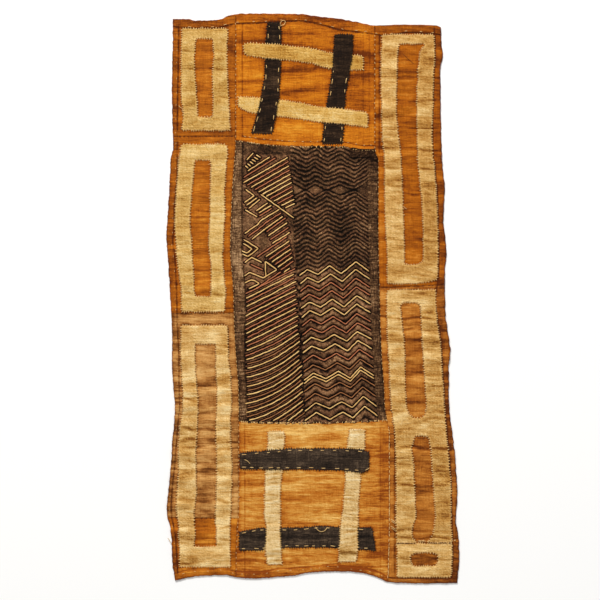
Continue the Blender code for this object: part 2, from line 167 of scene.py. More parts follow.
FRAME_RIGHT_TOP = [
    Side(528, 139, 242), Side(489, 137, 244), Side(445, 136, 241),
    Side(383, 138, 240), Side(329, 139, 238), Side(291, 143, 240),
    Side(253, 144, 244), Side(195, 144, 248), Side(137, 146, 250),
    Side(81, 149, 250), Side(38, 149, 248), Side(29, 149, 200),
]
WINDOW_RIGHT_TOP = [
    Side(508, 173, 223), Side(493, 171, 214), Side(445, 169, 209),
    Side(383, 168, 207), Side(337, 171, 208), Side(279, 177, 209),
    Side(195, 181, 217), Side(137, 183, 220), Side(75, 184, 220),
    Side(68, 184, 204),
]
FRAME_RIGHT_LOW = [
    Side(17, 152, 246), Side(11, 148, 246), Side(-41, 149, 248),
    Side(-87, 150, 255), Side(-137, 153, 258), Side(-205, 156, 262),
    Side(-247, 161, 265), Side(-279, 165, 268), Side(-329, 166, 272),
    Side(-385, 167, 276), Side(-435, 167, 276), Side(-489, 168, 279),
]
WINDOW_RIGHT_LOW = [
    Side(-9, 182, 208), Side(-16, 176, 214), Side(-61, 181, 217),
    Side(-117, 185, 220), Side(-163, 186, 223), Side(-209, 188, 226),
    Side(-229, 192, 225), Side(-239, 202, 215),
]
NOTCH_RIGHT_LOW = [
    Side(-273, 204, 230), Side(-301, 198, 236), Side(-335, 201, 239),
    Side(-371, 203, 241), Side(-409, 205, 244), Side(-435, 206, 246),
    Side(-459, 199, 243), Side(-472, 198, 240), Side(-479, 200, 237),
    Side(-484, 204, 233), Side(-489, 209, 228),
]
FRAME_RIGHT_FOOT = [
    Side(-490, 168, 279), Side(-523, 169, 278), Side(-559, 169, 276),
]
WINDOW_RIGHT_FOOT = [
    Side(-509, 206, 240), Side(-515, 196, 249), Side(-528, 196, 249),
    Side(-535, 203, 242),
]

# Strips on the top panel: two black down, two cream across.
STRIP_BLACK_A = [
    Side(553, -89, -66), Side(533, -92, -63), Side(497, -95, -64),
    Side(453, -96, -65), Side(413, -102, -67), Side(385, -107, -71),
    Side(361, -114, -75), Side(328, -124, -82),
]
STRIP_BLACK_B = [
    Side(528, 44, 81), Side(493, 42, 79), Side(453, 38, 73), Side(407, 32, 66),
    Side(381, 27, 63), Side(347, 22, 62), Side(308, 19, 59),
]
STRIP_CREAM_A = [
    Band(-138, 508, 491), Band(-133, 510, 487), Band(-118, 510, 484), Band(-88, 509, 480),
    Band(-42, 504, 476), Band(-8, 501, 472), Band(34, 491, 460),
    Band(74, 487, 458), Band(101, 485, 457),
]
STRIP_CREAM_B = [
    Band(-150, 404, 386), Band(-130, 403, 374), Band(-72, 398, 365),
    Band(-32, 392, 360), Band(14, 383, 353), Band(58, 379, 350),
    Band(110, 371, 342),
]
# Strips on the bottom panel: two black across, two cream down.
STRIP_BLACK_UPPER = [
    Band(-146, -309, -341), Band(-98, -305, -342), Band(-28, -300, -342),
    Band(32, -300, -343), Band(72, -301, -345), Band(100, -303, -348),
    Band(113, -308, -343),
]
STRIP_BLACK_LOWER = [
    Band(-147, -467, -504), Band(-98, -459, -503), Band(-40, -459, -498),
    Band(20, -455, -498), Band(58, -458, -500), Band(117, -458, -504),
    Band(125, -500, -506),
]
STRIP_CREAM_C = [
    Side(-265, -89, -56), Side(-303, -91, -58), Side(-345, -94, -62),
    Side(-403, -96, -65), Side(-431, -97, -65), Side(-461, -92, -66),
    Side(-501, -94, -64), Side(-533, -91, -62),
]
STRIP_CREAM_D = [
    Side(-261, 74, 104), Side(-297, 69, 103), Side(-349, 66, 96),
    Side(-405, 62, 92), Side(-455, 56, 90), Side(-501, 53, 89),
    Side(-527, 51, 86),
]


# ------------------------------------------------------------ small functions
def smooth(rows, step=0.0):
    """A border line as a smooth function through its rows, without overshoot."""
    p = sorted((float(r[0]), float(r[1])) for r in rows)
    s = np.array([a for a, _ in p])
    v = np.array([b for _, b in p]) + step
    h, rate = np.diff(s), np.diff(v) / np.diff(s)
    slope = np.concatenate([rate[:1], np.zeros(len(s) - 2), rate[-1:]])
    for i in range(1, len(s) - 1):
        if rate[i - 1] * rate[i] > 0:
            a, b = 2 * h[i] + h[i - 1], h[i] + 2 * h[i - 1]
            slope[i] = (a + b) / (a / rate[i - 1] + b / rate[i])

    def value(q):
        q = np.clip(np.asarray(q, float), s[0], s[-1])
        i = np.clip(np.searchsorted(s, q) - 1, 0, len(s) - 2)
        t = (q - s[i]) / h[i]
        return ((2 * t**3 - 3 * t**2 + 1) * v[i] + (t**3 - 2 * t**2 + t) * h[i] * slope[i]
                + (3 * t**2 - 2 * t**3) * v[i + 1] + (t**3 - t**2) * h[i] * slope[i + 1])

    return value


def plus(line, step):
    """The same line function, moved by step."""
    return lambda q: line(q) + step


def waves(seed, x, y, size, count=7):
    """Gentle unevenness between about -1 and 1, with humps about size across."""
    rng = np.random.default_rng(seed)
    x, y = np.asarray(x, float), np.asarray(y, float)
    out = np.zeros(np.broadcast(x, y).shape)
    for _ in range(count):
        angle, phase = rng.uniform(0, 2 * math.pi, 2)
        k = 2 * math.pi / (size * rng.uniform(1.2, 3.0))
        out = out + np.sin(k * (x * math.cos(angle) + y * math.sin(angle)) + phase)
    return out / math.sqrt(count * 1.5)


def wander(seed, s, size, count=5):
    """The same along one line."""
    return waves(seed, s, np.zeros_like(np.asarray(s, float)), size, count)


def ease(t):
    t = np.clip(t, 0, 1)
    return t * t * (3 - 2 * t)


def area_of(loop):
    x, y = loop[:, 0], loop[:, 1]
    return 0.5 * float((x * np.roll(y, -1) - np.roll(x, -1) * y).sum())


def inside(x, y, loops):
    """Which points lie inside the first loop and outside the others."""
    order = np.argsort(y, kind="stable")
    xs, ys = x[order], y[order]
    odd = np.zeros(len(x), bool)
    for loop in loops:
        a, b = loop, np.roll(loop, -1, 0)
        low = np.searchsorted(ys, np.minimum(a[:, 1], b[:, 1]))
        high = np.searchsorted(ys, np.maximum(a[:, 1], b[:, 1]))
        for (ax, ay), (bx, by), i, j in zip(a, b, low, high):
            if i < j and ay != by:
                odd[i:j] ^= xs[i:j] < ax + (bx - ax) * (ys[i:j] - ay) / (by - ay)
    out = np.empty(len(x), bool)
    out[order] = odd
    return out


def resample(path, gap, closed=True):
    """Points about gap apart along a path."""
    if closed:
        path = np.vstack([path, path[:1]])
    step = np.linalg.norm(np.diff(path, axis=0), axis=1)
    s = np.concatenate([[0.0], np.cumsum(step)])
    n = max(4, int(round(s[-1] / gap)))
    q = np.linspace(0, s[-1], n + 1)
    if closed:
        q = q[:-1]
    return np.column_stack([np.interp(q, s, path[:, k]) for k in range(path.shape[1])])


def rounded(loop, reach):
    """A closed loop with its corners and kinks softened over reach."""
    pts = resample(loop, 1.0)
    half = int(reach * 2.5)
    w = np.exp(-0.5 * (np.arange(-half, half + 1) / reach) ** 2)
    w /= w.sum()
    wrapped = np.vstack([pts[-half:], pts, pts[:half]])
    return np.column_stack([np.convolve(wrapped[:, k], w, "valid") for k in (0, 1)])


def normals(loop):
    """Unit vectors to the right of the way round: away from the cloth."""
    t = np.roll(loop, -1, 0) - np.roll(loop, 1, 0)
    t /= np.maximum(np.linalg.norm(t, axis=1), 1e-9)[:, None]
    return np.column_stack([t[:, 1], -t[:, 0]])


def distance(points, to):
    """Distance from each point to the nearest of a row of points."""
    tree = KDTree(len(to))
    for i, p in enumerate(to):
        tree.insert((p[0], p[1], 0.0), i)
    tree.balance()
    return np.array([tree.find((p[0], p[1], 0.0))[2] for p in points])


def hexagons(x0, x1, y0, y1, gap, seed):
    """A slightly uneven triangular grid of points."""
    rng = np.random.default_rng(seed)
    rows = np.arange(y0, y1, gap * 0.866)
    out = []
    for k, y in enumerate(rows):
        x = np.arange(x0 + (gap / 2 if k % 2 else 0), x1, gap)
        out.append(np.column_stack([x, np.full(len(x), y)]))
    out = np.vstack(out)
    return out + rng.uniform(-0.12, 0.12, out.shape) * gap


# ------------------------------------------------------------ lie of the land
LEFT, RIGHT = smooth(LEFT_EDGE), smooth(RIGHT_EDGE)
TOP, BOTTOM = smooth(TOP_EDGE), smooth(BOTTOM_EDGE)
SEAM_L, SEAM_R = smooth(SEAM_LEFT), smooth(SEAM_RIGHT)
PANEL_TOP, PANEL_FOOT = smooth(SEAM_PANEL_TOP), smooth(SEAM_PANEL_BOTTOM)
CROSS_L1, CROSS_L2, CROSS_L3 = (smooth(SEAM_LEFT_1), smooth(SEAM_LEFT_2),
                                smooth(SEAM_LEFT_3))
CROSS_R1 = smooth(SEAM_RIGHT_1)


def rise(table, x, y, seam, free, seed):
    """Ripples across a side strip, highest towards its free edge."""
    out = np.zeros_like(x)
    across = np.clip(np.abs(x - seam) / np.maximum(np.abs(free - seam), 1), 0, 1)
    for k, r in enumerate(table):
        q = y + 3.0 * wander(seed + k, x, 30) + 1.5 * wander(seed + 50 + k, x, 12)
        t = np.clip(np.abs(q - r.y) / (r.half * 1.02), 0, 1)
        lift = 0.78 + 0.2 * wander(seed + 90 + k, x, 34) + 0.25 * (across - 0.5)
        out = np.maximum(out, r.rise * np.clip(lift, 0.3, 1.1) * 0.5 * (1 + np.cos(math.pi * t)))
    return out * (1 - np.exp(-(np.abs(x - seam) / RAMP) ** 1.5))


def land(x, y):
    """Height of the ground cloths' upper face."""
    x, y = np.asarray(x, float), np.asarray(y, float)
    sl, sr = SEAM_L(y), SEAM_R(y)
    left = rise(RIPPLES_LEFT, x, y, sl, LEFT(y), 11)
    right = rise(RIPPLES_RIGHT, x, y, sr, RIGHT(y), 311)
    z = np.where(x < sl, left, np.where(x > sr, right, 0.0))
    side = np.where((x < sl) | (x > sr), 1.0, 0.55)
    soft = 0.32 * (1 + waves(5, x, y * 1.5, 30)) + 0.13 * (1 + waves(6, x * 0.5, y * 1.6, 9))
    return CLOTH + z + side * np.clip(soft, 0, 1.4)


# ------------------------------------------------------------------ materials
class Net:
    """Small helper that grows a material's node tree."""

    def __init__(self, name):
        self.mat = bpy.data.materials.new(name)
        self.mat.use_nodes = True
        self.nodes, self.links = self.mat.node_tree.nodes, self.mat.node_tree.links
        self.bsdf = self.nodes["Principled BSDF"]
        self.place = self.nodes.new("ShaderNodeTexCoord").outputs["Object"]

    def put(self, socket, value):
        if hasattr(value, "is_linked"):
            self.links.new(value, socket)
        elif isinstance(value, tuple) and len(value) == 3 and socket.type == "RGBA":
            socket.default_value = (*value, 1.0)
        else:
            socket.default_value = value

    def math(self, op, a, b=0.0, c=0.0, clamp=False):
        n = self.nodes.new("ShaderNodeMath")
        n.operation, n.use_clamp = op, clamp
        for socket, value in zip(n.inputs, (a, b, c)):
            self.put(socket, value)
        return n.outputs[0]

    def spread(self, sx, sy, sz=0.0, by=None):
        n = self.nodes.new("ShaderNodeMapping")
        self.put(n.inputs["Vector"], self.place if by is None else by)
        n.inputs["Scale"].default_value = (sx, sy, sz)
        return n.outputs[0]

    def noise(self, sx, sy, detail=2.0, rough=0.5, by=None, twist=0.0):
        n = self.nodes.new("ShaderNodeTexNoise")
        self.put(n.inputs["Vector"], self.spread(sx, sy, 0.0, by))
        n.inputs["Scale"].default_value = 1.0
        n.inputs["Detail"].default_value = detail
        n.inputs["Roughness"].default_value = rough
        n.inputs["Distortion"].default_value = twist
        return n.outputs["Fac"]

    def centred(self, value, gain):
        return self.math("MULTIPLY", self.math("SUBTRACT", value, 0.5), gain)

    def total(self, *values):
        out = values[0]
        for v in values[1:]:
            out = self.math("ADD", out, v)
        return out

    def ramp(self, fac, stops):
        n = self.nodes.new("ShaderNodeValToRGB")
        self.put(n.inputs["Fac"], fac)
        e = n.color_ramp.elements
        while len(e) < len(stops):
            e.new(0.5)
        for item, (at, colour) in zip(e, stops):
            item.position = at
            item.color = (*colour, 1.0) if isinstance(colour, tuple) else (colour, colour, colour, 1.0)
        return n.outputs["Color"]

    def mix(self, fac, a, b, how="MIX"):
        n = self.nodes.new("ShaderNodeMix")
        n.data_type, n.blend_type = "RGBA", how
        self.put(n.inputs[0], fac)
        self.put(n.inputs[6], a)
        self.put(n.inputs[7], b)
        return n.outputs[2]

    def own(self, name):
        n = self.nodes.new("ShaderNodeAttribute")
        n.attribute_name = name
        return n.outputs["Fac"]

    def turned(self, angle, by):
        n = self.nodes.new("ShaderNodeMapping")
        self.put(n.inputs["Vector"], by)
        n.inputs["Rotation"].default_value = (0.0, 0.0, angle)
        return n.outputs[0]

    def apart(self, vector):
        n = self.nodes.new("ShaderNodeSeparateXYZ")
        self.put(n.inputs[0], vector)
        return n.outputs

    def shift(self, amount, scale):
        """The place, bent by a slow noise so that no thread runs straight."""
        n = self.nodes.new("ShaderNodeTexNoise")
        self.put(n.inputs["Vector"], self.spread(scale, scale))
        n.inputs["Scale"].default_value = 1.0
        n.inputs["Detail"].default_value = 1.0
        sub = self.nodes.new("ShaderNodeVectorMath")
        sub.operation = "SUBTRACT"
        self.put(sub.inputs[0], n.outputs["Color"])
        sub.inputs[1].default_value = (0.5, 0.5, 0.5)
        mul = self.nodes.new("ShaderNodeVectorMath")
        mul.operation = "SCALE"
        self.put(mul.inputs[0], sub.outputs[0])
        mul.inputs["Scale"].default_value = amount
        add = self.nodes.new("ShaderNodeVectorMath")
        add.operation = "ADD"
        self.put(add.inputs[0], self.place)
        self.put(add.inputs[1], mul.outputs[0])
        return add.outputs[0]

    def bump(self, height, strength, reach):
        n = self.nodes.new("ShaderNodeBump")
        n.inputs["Strength"].default_value = strength
        n.inputs["Distance"].default_value = reach
        self.put(n.inputs["Height"], height)
        self.links.new(n.outputs["Normal"], self.bsdf.inputs["Normal"])


def rgb(r, g, b):
    """A colour seen on screen, 0 to 255, as a light value."""
    def one(c):
        c /= 255
        return c / 12.92 if c < 0.04045 else ((c + 0.055) / 1.055) ** 2.4
    return (one(r), one(g), one(b))


def raffia(name, deep, low, base, high, weft=0.9, warp=0.2, mottle=0.7, grain=0.6,
           streak=0.7, twill=0.0, specks=0.0, pitch=1.25, middle=0.55, slow=9, relief=0.9):
    """Plain-woven raffia: streaks of single fibres along weft and warp, slow
    unevenness of the dye, fine grain, and the weave itself as bump."""
    net = Net(name)
    bent = net.shift(0.005, 22)
    wavy = net.shift(0.022, 6)
    bands = net.noise(7, 74, 3, 0.6, wavy)
    long_weft = net.noise(24, 290, 3, 0.65, bent)
    fine_weft = net.noise(50, 560, 2, 0.6, bent)
    long_warp = net.noise(330, 16, 2, 0.55, bent)
    fine_warp = net.noise(620, 60, 1, 0.5, bent)
    blotch = net.noise(slow, slow * 2.4, 4, 0.6, bent)
    cloud = net.noise(60, 95, 3, 0.6)
    fine = net.noise(300, 330, 3, 0.75)
    # The per-point attribute adds the fibre's own colour shifts and the painted shade and highlight of creases,
    # seams, steps and outlines.
    parts = [middle,
             net.centred(bands, streak),
             net.centred(long_weft, weft), net.centred(fine_weft, weft * 0.8),
             net.centred(long_warp, warp), net.centred(fine_warp, warp * 0.8),
             net.centred(blotch, mottle), net.centred(cloud, mottle * 0.6),
             net.centred(fine, grain), net.own("tone")]
    slanted = None
    if twill:
        slanted = net.noise(150, 430, 2, 0.65, net.turned(0.62, bent))
        parts.append(net.centred(slanted, twill))
    fac = net.total(*parts)
    colour = net.ramp(fac, [(0.0, deep), (0.3, low), (0.62, base), (1.0, high)])
    if specks:
        spot = net.noise(420, 420, 1, 0.4, bent)
        few = net.noise(60, 60, 2, 0.6)
        mask = net.math("MULTIPLY",
                        net.math("MULTIPLY", net.math("SUBTRACT", spot, 0.6), 9.0, clamp=True),
                        net.math("MULTIPLY", few, specks, clamp=True), clamp=True)
        colour = net.mix(mask, colour, deep)
    net.put(net.bsdf.inputs["Base Color"], colour)
    rough = net.math("ADD", net.centred(fine_weft, 0.25), 0.84, clamp=True)
    net.put(net.bsdf.inputs["Roughness"], rough)
    net.bsdf.inputs["Specular IOR Level"].default_value = 0.1
    net.bsdf.inputs["Sheen Weight"].default_value = 0.02
    net.bsdf.inputs["Sheen Roughness"].default_value = 0.5
    axes = net.apart(bent)
    k = math.pi / (pitch * MM)
    u = net.math("SINE", net.math("MULTIPLY", axes[0], k))
    v = net.math("SINE", net.math("MULTIPLY", axes[1], k * 1.06))
    weave = net.math("MULTIPLY", u, v)
    height = net.total(net.math("MULTIPLY", weave, 0.3), net.centred(fine_weft, 1.5),
                       net.centred(fine_warp, 0.8), net.centred(long_weft, 1.5),
                       net.centred(fine, 1.2), net.centred(cloud, 1.2))
    if twill:
        height = net.math("ADD", height, net.centred(slanted, 2.2))
    net.bump(height, relief, 0.0009)
    return net.mat


def fibre(name, dark, light, rough=0.7, scale=900):
    """A twisted raffia thread."""
    net = Net(name)
    a = net.noise(scale, scale, 2, 0.6)
    b = net.noise(60, 60, 2, 0.6)
    fac = net.total(0.5, net.centred(a, 0.9), net.centred(b, 0.7))
    net.put(net.bsdf.inputs["Base Color"], net.ramp(fac, [(0.15, dark), (0.8, light)]))
    net.put(net.bsdf.inputs["Roughness"], net.math("ADD", net.centred(a, 0.2), rough, clamp=True))
    net.bsdf.inputs["Specular IOR Level"].default_value = 0.2
    net.bump(net.total(a, net.centred(b, 0.3)), 0.5, 0.0004)
    return net.mat


ORANGE = raffia("orange_raffia", rgb(104, 44, 4), rgb(168, 86, 10), rgb(206, 120, 20),
                rgb(232, 160, 50), weft=0.75, warp=0.3, mottle=0.75, streak=0.55, middle=0.53)
ORANGE_SIDE = raffia("orange_side_raffia", rgb(92, 38, 4), rgb(148, 76, 12), rgb(186, 104, 20),
                     rgb(222, 146, 48), weft=0.8, warp=0.3, mottle=0.8, streak=0.6)
RUST = raffia("rust_raffia", rgb(88, 36, 3), rgb(142, 70, 7), rgb(182, 100, 14),
              rgb(216, 140, 50), weft=0.68, warp=0.3, mottle=0.6, streak=0.5)
RUST_LOW = raffia("rust_low_raffia", rgb(90, 40, 6), rgb(148, 80, 20), rgb(190, 118, 42),
                  rgb(224, 160, 78), weft=0.7, warp=0.3, mottle=0.7, streak=0.55)
TAN = raffia("tan_raffia", rgb(98, 52, 14), rgb(150, 92, 38), rgb(196, 138, 72),
             rgb(226, 176, 108), weft=1.0, warp=0.25, mottle=0.9, streak=0.9)
GOLD = raffia("gold_raffia", rgb(134, 62, 10), rgb(187, 107, 27), rgb(214, 148, 61),
              rgb(244, 198, 114), weft=1.0, warp=0.2, mottle=0.9, streak=1.3)
CREAM = raffia("cream_raffia", rgb(124, 72, 18), rgb(184, 134, 58), rgb(218, 176, 102),
               rgb(246, 216, 152), weft=0.55, warp=0.25, mottle=0.6, grain=0.75, twill=0.7,
               streak=0.4, specks=0.7, relief=0.9)
CREAM_WARM = raffia("cream_warm_raffia", rgb(122, 68, 18), rgb(184, 130, 58), rgb(219, 173, 102),
                    rgb(248, 216, 154), weft=0.65, warp=0.25, mottle=0.7, grain=0.75, twill=0.6,
                    streak=0.6, specks=0.7, relief=0.9, middle=0.57)
CREAM_STRIP = raffia("cream_strip_raffia", rgb(124, 74, 20), rgb(192, 144, 74), rgb(230, 194, 132),
                     rgb(252, 230, 182), weft=0.7, warp=0.25, mottle=0.6, grain=0.75, twill=0.6,
                     streak=0.6, specks=0.7, relief=0.9)
CREAM_GOLD = raffia("cream_gold_raffia", rgb(118, 68, 14), rgb(182, 128, 48), rgb(216, 170, 88),
                    rgb(244, 214, 148), weft=0.6, warp=0.25, mottle=0.6, grain=0.75, twill=0.6,
                    streak=0.5, specks=0.8, relief=0.9)
BLACK = raffia("black_raffia", rgb(9, 5, 2), rgb(22, 13, 7), rgb(41, 27, 16),
               rgb(82, 60, 40), weft=0.8, warp=0.35, mottle=0.8, grain=1.0, streak=0.6)
BLACK_LOW = raffia("black_low_raffia", rgb(12, 8, 5), rgb(34, 25, 18), rgb(60, 47, 36),
                   rgb(108, 88, 68), weft=0.9, warp=0.32, mottle=0.9, grain=1.0, streak=0.7)
PALE_THREAD = fibre("pale_fibre", rgb(186, 132, 62), rgb(246, 212, 146))
GOLD_THREAD = fibre("golden_fibre", rgb(184, 126, 54), rgb(250, 210, 140))
TERRA_THREAD = fibre("terracotta_fibre", rgb(126, 64, 34), rgb(206, 130, 86))
BROWN_THREAD = fibre("brown_fibre", rgb(110, 64, 34), rgb(184, 122, 72))
DARK_THREAD = fibre("dark_fibre", rgb(16, 9, 5), rgb(60, 44, 32))
RED_THREAD = fibre("red_brown_fibre", rgb(48, 16, 3), rgb(100, 44, 12))


def dark_panel_look():
    """The embroidered panel: black ground, rows of clipped brown pile that
    follow the pattern, and plain woven borders down both sides."""
    net = Net("dark_panel_raffia")
    bent = net.shift(0.003, 40)
    phase, ridged, plain, near, tone, warm = (net.own(a) for a in
                                              ("phase", "ridged", "plain", "near", "tone", "warm"))
    knots = net.noise(430, 430, 3, 0.8)
    clumps = net.noise(150, 150, 3, 0.65)
    slow = net.noise(14, 22, 3, 0.6)
    phase = net.total(phase, net.centred(clumps, 0.45), net.centred(net.noise(45, 45, 2, 0.5), 0.5))
    wave = net.math("COSINE", net.math("MULTIPLY", phase, 2 * math.pi))
    wave = net.math("ADD", net.math("MULTIPLY", wave, 0.5), 0.5)
    row = net.math("MULTIPLY", net.math("POWER", wave, 0.7), ridged)
    rest = net.math("MULTIPLY", net.math("SUBTRACT", 1.0, ridged), 0.5)
    pile = net.math("ADD", row, rest)
    # near darkens the pile along both sides of each coloured thread: painted shade in the gap beside it.
    fac = net.total(net.math("MULTIPLY", pile, 0.55), net.centred(knots, 1.5),
                    net.centred(clumps, 0.9), net.centred(slow, 0.9),
                    net.math("MULTIPLY", near, -0.72), tone, 0.1)
    worked = net.ramp(fac, [(0.0, rgb(10, 5, 2)), (0.28, rgb(38, 24, 14)),
                            (0.62, rgb(104, 72, 46)), (1.0, rgb(186, 142, 98))])
    reddish = net.ramp(fac, [(0.0, rgb(20, 8, 4)), (0.28, rgb(62, 30, 20)),
                             (0.62, rgb(140, 82, 56)), (1.0, rgb(206, 142, 104))])
    patchy = net.math("ADD", net.centred(clumps, 1.8), 0.55, clamp=True)
    worked = net.mix(net.math("MULTIPLY", patchy, warm, clamp=True), worked, reddish)
    weft = net.noise(60, 330, 3, 0.7, bent)
    warp = net.noise(360, 60, 3, 0.7, bent)
    fac = net.total(0.47, net.centred(weft, 1.8), net.centred(warp, 1.4),
                    net.centred(knots, 1.7), net.centred(slow, 1.2), tone)
    woven = net.ramp(fac, [(0.0, rgb(28, 15, 7)), (0.35, rgb(74, 49, 30)),
                           (0.65, rgb(116, 82, 52)), (1.0, rgb(186, 148, 106))])
    net.put(net.bsdf.inputs["Base Color"], net.mix(plain, worked, woven))
    net.put(net.bsdf.inputs["Roughness"], net.math("ADD", net.centred(knots, 0.2), 0.86, clamp=True))
    net.bsdf.inputs["Specular IOR Level"].default_value = 0.08
    net.bsdf.inputs["Sheen Weight"].default_value = 0.0
    height = net.total(net.math("MULTIPLY", pile, 1.6), net.centred(knots, 2.0),
                       net.centred(clumps, 1.0), net.centred(weft, 1.0))
    net.bump(height, 0.8, 0.0009)
    return net.mat


DARK = dark_panel_look()


# --------------------------------------------------------------- mesh making
PIECES = {}
SURFACE = {}          # height of each applied cloth's face, for its stitches
LOOPS = {}            # outline of each cloth


def write_mesh(name, points, faces, looks, values=None):
    """A mesh object from arrays in millimetres."""
    me = bpy.data.meshes.new(name)
    points = np.asarray(points, float) * MM
    faces = np.asarray(faces, np.int32)
    me.vertices.add(len(points))
    me.vertices.foreach_set("co", points.astype(np.float32).ravel())
    me.loops.add(faces.size)
    me.loops.foreach_set("vertex_index", faces.ravel())
    me.polygons.add(len(faces))
    me.polygons.foreach_set("loop_start", np.arange(0, faces.size, 3, dtype=np.int32))
    me.update(calc_edges=True)
    me.polygons.foreach_set("use_smooth", np.ones(len(faces), bool))
    for key, value in (values or {}).items():
        layer = me.attributes.new(key, "FLOAT", "POINT")
        layer.data.foreach_set("value", np.asarray(value, np.float32))
    me.materials.append(looks)
    me.update()
    obj = bpy.data.objects.new(name, me)
    bpy.context.scene.collection.objects.link(obj)
    PIECES[name] = obj
    return obj


def triangles(loops, inner):
    """Triangles of a flat cloth: its outline, its windows and inner points."""
    pts, edges = [], []
    for loop in loops:
        n, start = len(loop), len(pts)
        pts.extend(Vector((float(a), float(b))) for a, b in loop)
        edges.extend((start + i, start + (i + 1) % n) for i in range(n))
    pts.extend(Vector((float(a), float(b))) for a, b in inner)
    verts, _, faces, *_ = delaunay_2d_cdt(pts, edges, [], 0, 1e-3)
    v = np.array([(p.x, p.y) for p in verts])
    f = np.array(faces, dtype=np.int64)
    a, b, c = v[f[:, 0]], v[f[:, 1]], v[f[:, 2]]
    twice = (b[:, 0] - a[:, 0]) * (c[:, 1] - a[:, 1]) - (b[:, 1] - a[:, 1]) * (c[:, 0] - a[:, 0])
    mid = (a + b + c) / 3
    keep = inside(mid[:, 0], mid[:, 1], loops) & (np.abs(twice) > 1e-9)
    f, twice = f[keep], twice[keep]
    f[twice < 0] = f[twice < 0][:, ::-1]
    used = np.unique(f)
    back = np.full(len(v), -1)
    back[used] = np.arange(len(used))
    return v[used], back[f]


def rim_of(faces):
    """Directed edges that only one triangle uses."""
    e = np.vstack([faces[:, [0, 1]], faces[:, [1, 2]], faces[:, [2, 0]]])
    base = faces.max() + 1
    here, there = e[:, 0] * base + e[:, 1], e[:, 1] * base + e[:, 0]
    return e[~np.isin(here, there)]


def cloth(name, looks, loops, gap, upper, lower, seed, extra=None, shades=None,
          coarse=8.0):
    """A closed thin sheet.  upper(x, y, d) and lower(x, y, d) give the heights
    of its two faces, d being the distance to the nearest edge."""
    edge = np.vstack([resample(l, 0.8) for l in loops])
    lo, hi = loops[0].min(0), loops[0].max(0)
    rings = [l - normals(l) * 1.1 for l in loops] + [l - normals(l) * 2.3 for l in loops]
    rings = np.vstack([resample(r, 1.7) for r in rings])
    lines = rings if extra is None else np.vstack([rings, extra])
    lines = lines[inside(lines[:, 0], lines[:, 1], loops)]
    lines = lines[distance(lines, edge) > 0.6]
    grid = hexagons(lo[0], hi[0], lo[1], hi[1], gap, seed)
    grid = grid[inside(grid[:, 0], grid[:, 1], loops)]
    grid = grid[distance(grid, edge) > 0.6 * gap]
    grid = grid[distance(grid, lines) > 0.45 * gap]
    v, f = triangles(loops, np.vstack([lines, grid]))
    d = distance(v, edge)
    z = upper(v[:, 0], v[:, 1], d)
    under = hexagons(lo[0], hi[0], lo[1], hi[1], coarse, seed + 1)
    under = under[inside(under[:, 0], under[:, 1], loops)]
    under = under[distance(under, edge) > 0.5 * coarse]
    w, g = triangles(loops, under)
    dw = distance(w, edge)
    zw = lower(w[:, 0], w[:, 1], dw)
    where = {(round(float(a), 3), round(float(b), 3)): i for i, (a, b) in enumerate(w)}
    rim = rim_of(f)
    n = len(v)
    a, b = rim[:, 0], rim[:, 1]
    low = {i: n + where[(round(float(v[i, 0]), 3), round(float(v[i, 1]), 3))]
           for i in np.unique(rim)}
    al, bl = np.array([low[i] for i in a]), np.array([low[i] for i in b])
    side = np.vstack([np.column_stack([b, a, al]), np.column_stack([b, al, bl])])
    points = np.vstack([np.column_stack([v, z]), np.column_stack([w, zw])])
    faces = np.vstack([f, g[:, ::-1] + n, side])
    values = {"tone": np.zeros(len(points))}
    for key, value in (shades(v[:, 0], v[:, 1], d) if shades else {}).items():
        values[key] = np.concatenate([value, np.full(len(w), 0.0)])
    LOOPS[name] = loops
    return write_mesh(name, points, faces, looks, values)


def tubes(paths, radius, sides=5, flat=1.0, across=None, taper=0.45):
    """Round threads along paths, all with the same number of points."""
    p = np.asarray(paths, float)
    n, k, _ = p.shape
    t = np.gradient(p, axis=1)
    t /= np.maximum(np.linalg.norm(t, axis=2, keepdims=True), 1e-9)
    if across is None:
        s = np.cross(t, (0.0, 0.0, 1.0))
    else:
        s = np.broadcast_to(np.asarray(across, float)[:, None, :], p.shape)
    s = s / np.maximum(np.linalg.norm(s, axis=2, keepdims=True), 1e-9)
    u = np.cross(s, t)
    r = np.asarray(radius, float)
    r = np.broadcast_to(r if r.ndim == 2 else r.reshape(-1, 1), (n, k)).copy()
    r[:, 0] *= taper
    r[:, -1] *= taper
    turn = 2 * math.pi * np.arange(sides) / sides
    ring = (np.cos(turn)[:, None] * s[:, :, None, :]
            + flat * np.sin(turn)[:, None] * u[:, :, None, :])
    v = (p[:, :, None, :] + r[:, :, None, None] * ring).reshape(-1, 3)
    base = (np.arange(n)[:, None] * k + np.arange(k - 1)[None, :]).reshape(-1, 1) * sides
    i = np.arange(sides)[None, :]
    j = (i + 1) % sides
    a, b, c, d = base + i, base + j, base + sides + j, base + sides + i
    f = [np.column_stack([a.ravel(), b.ravel(), c.ravel()]),
         np.column_stack([a.ravel(), c.ravel(), d.ravel()])]
    first = np.arange(n)[:, None] * k * sides
    last = first + (k - 1) * sides
    for m in range(1, sides - 1):
        f.append(np.column_stack([first, first + m + 1, first + m]))
        f.append(np.column_stack([last, last + m, last + m + 1]))
    return v, np.vstack(f)


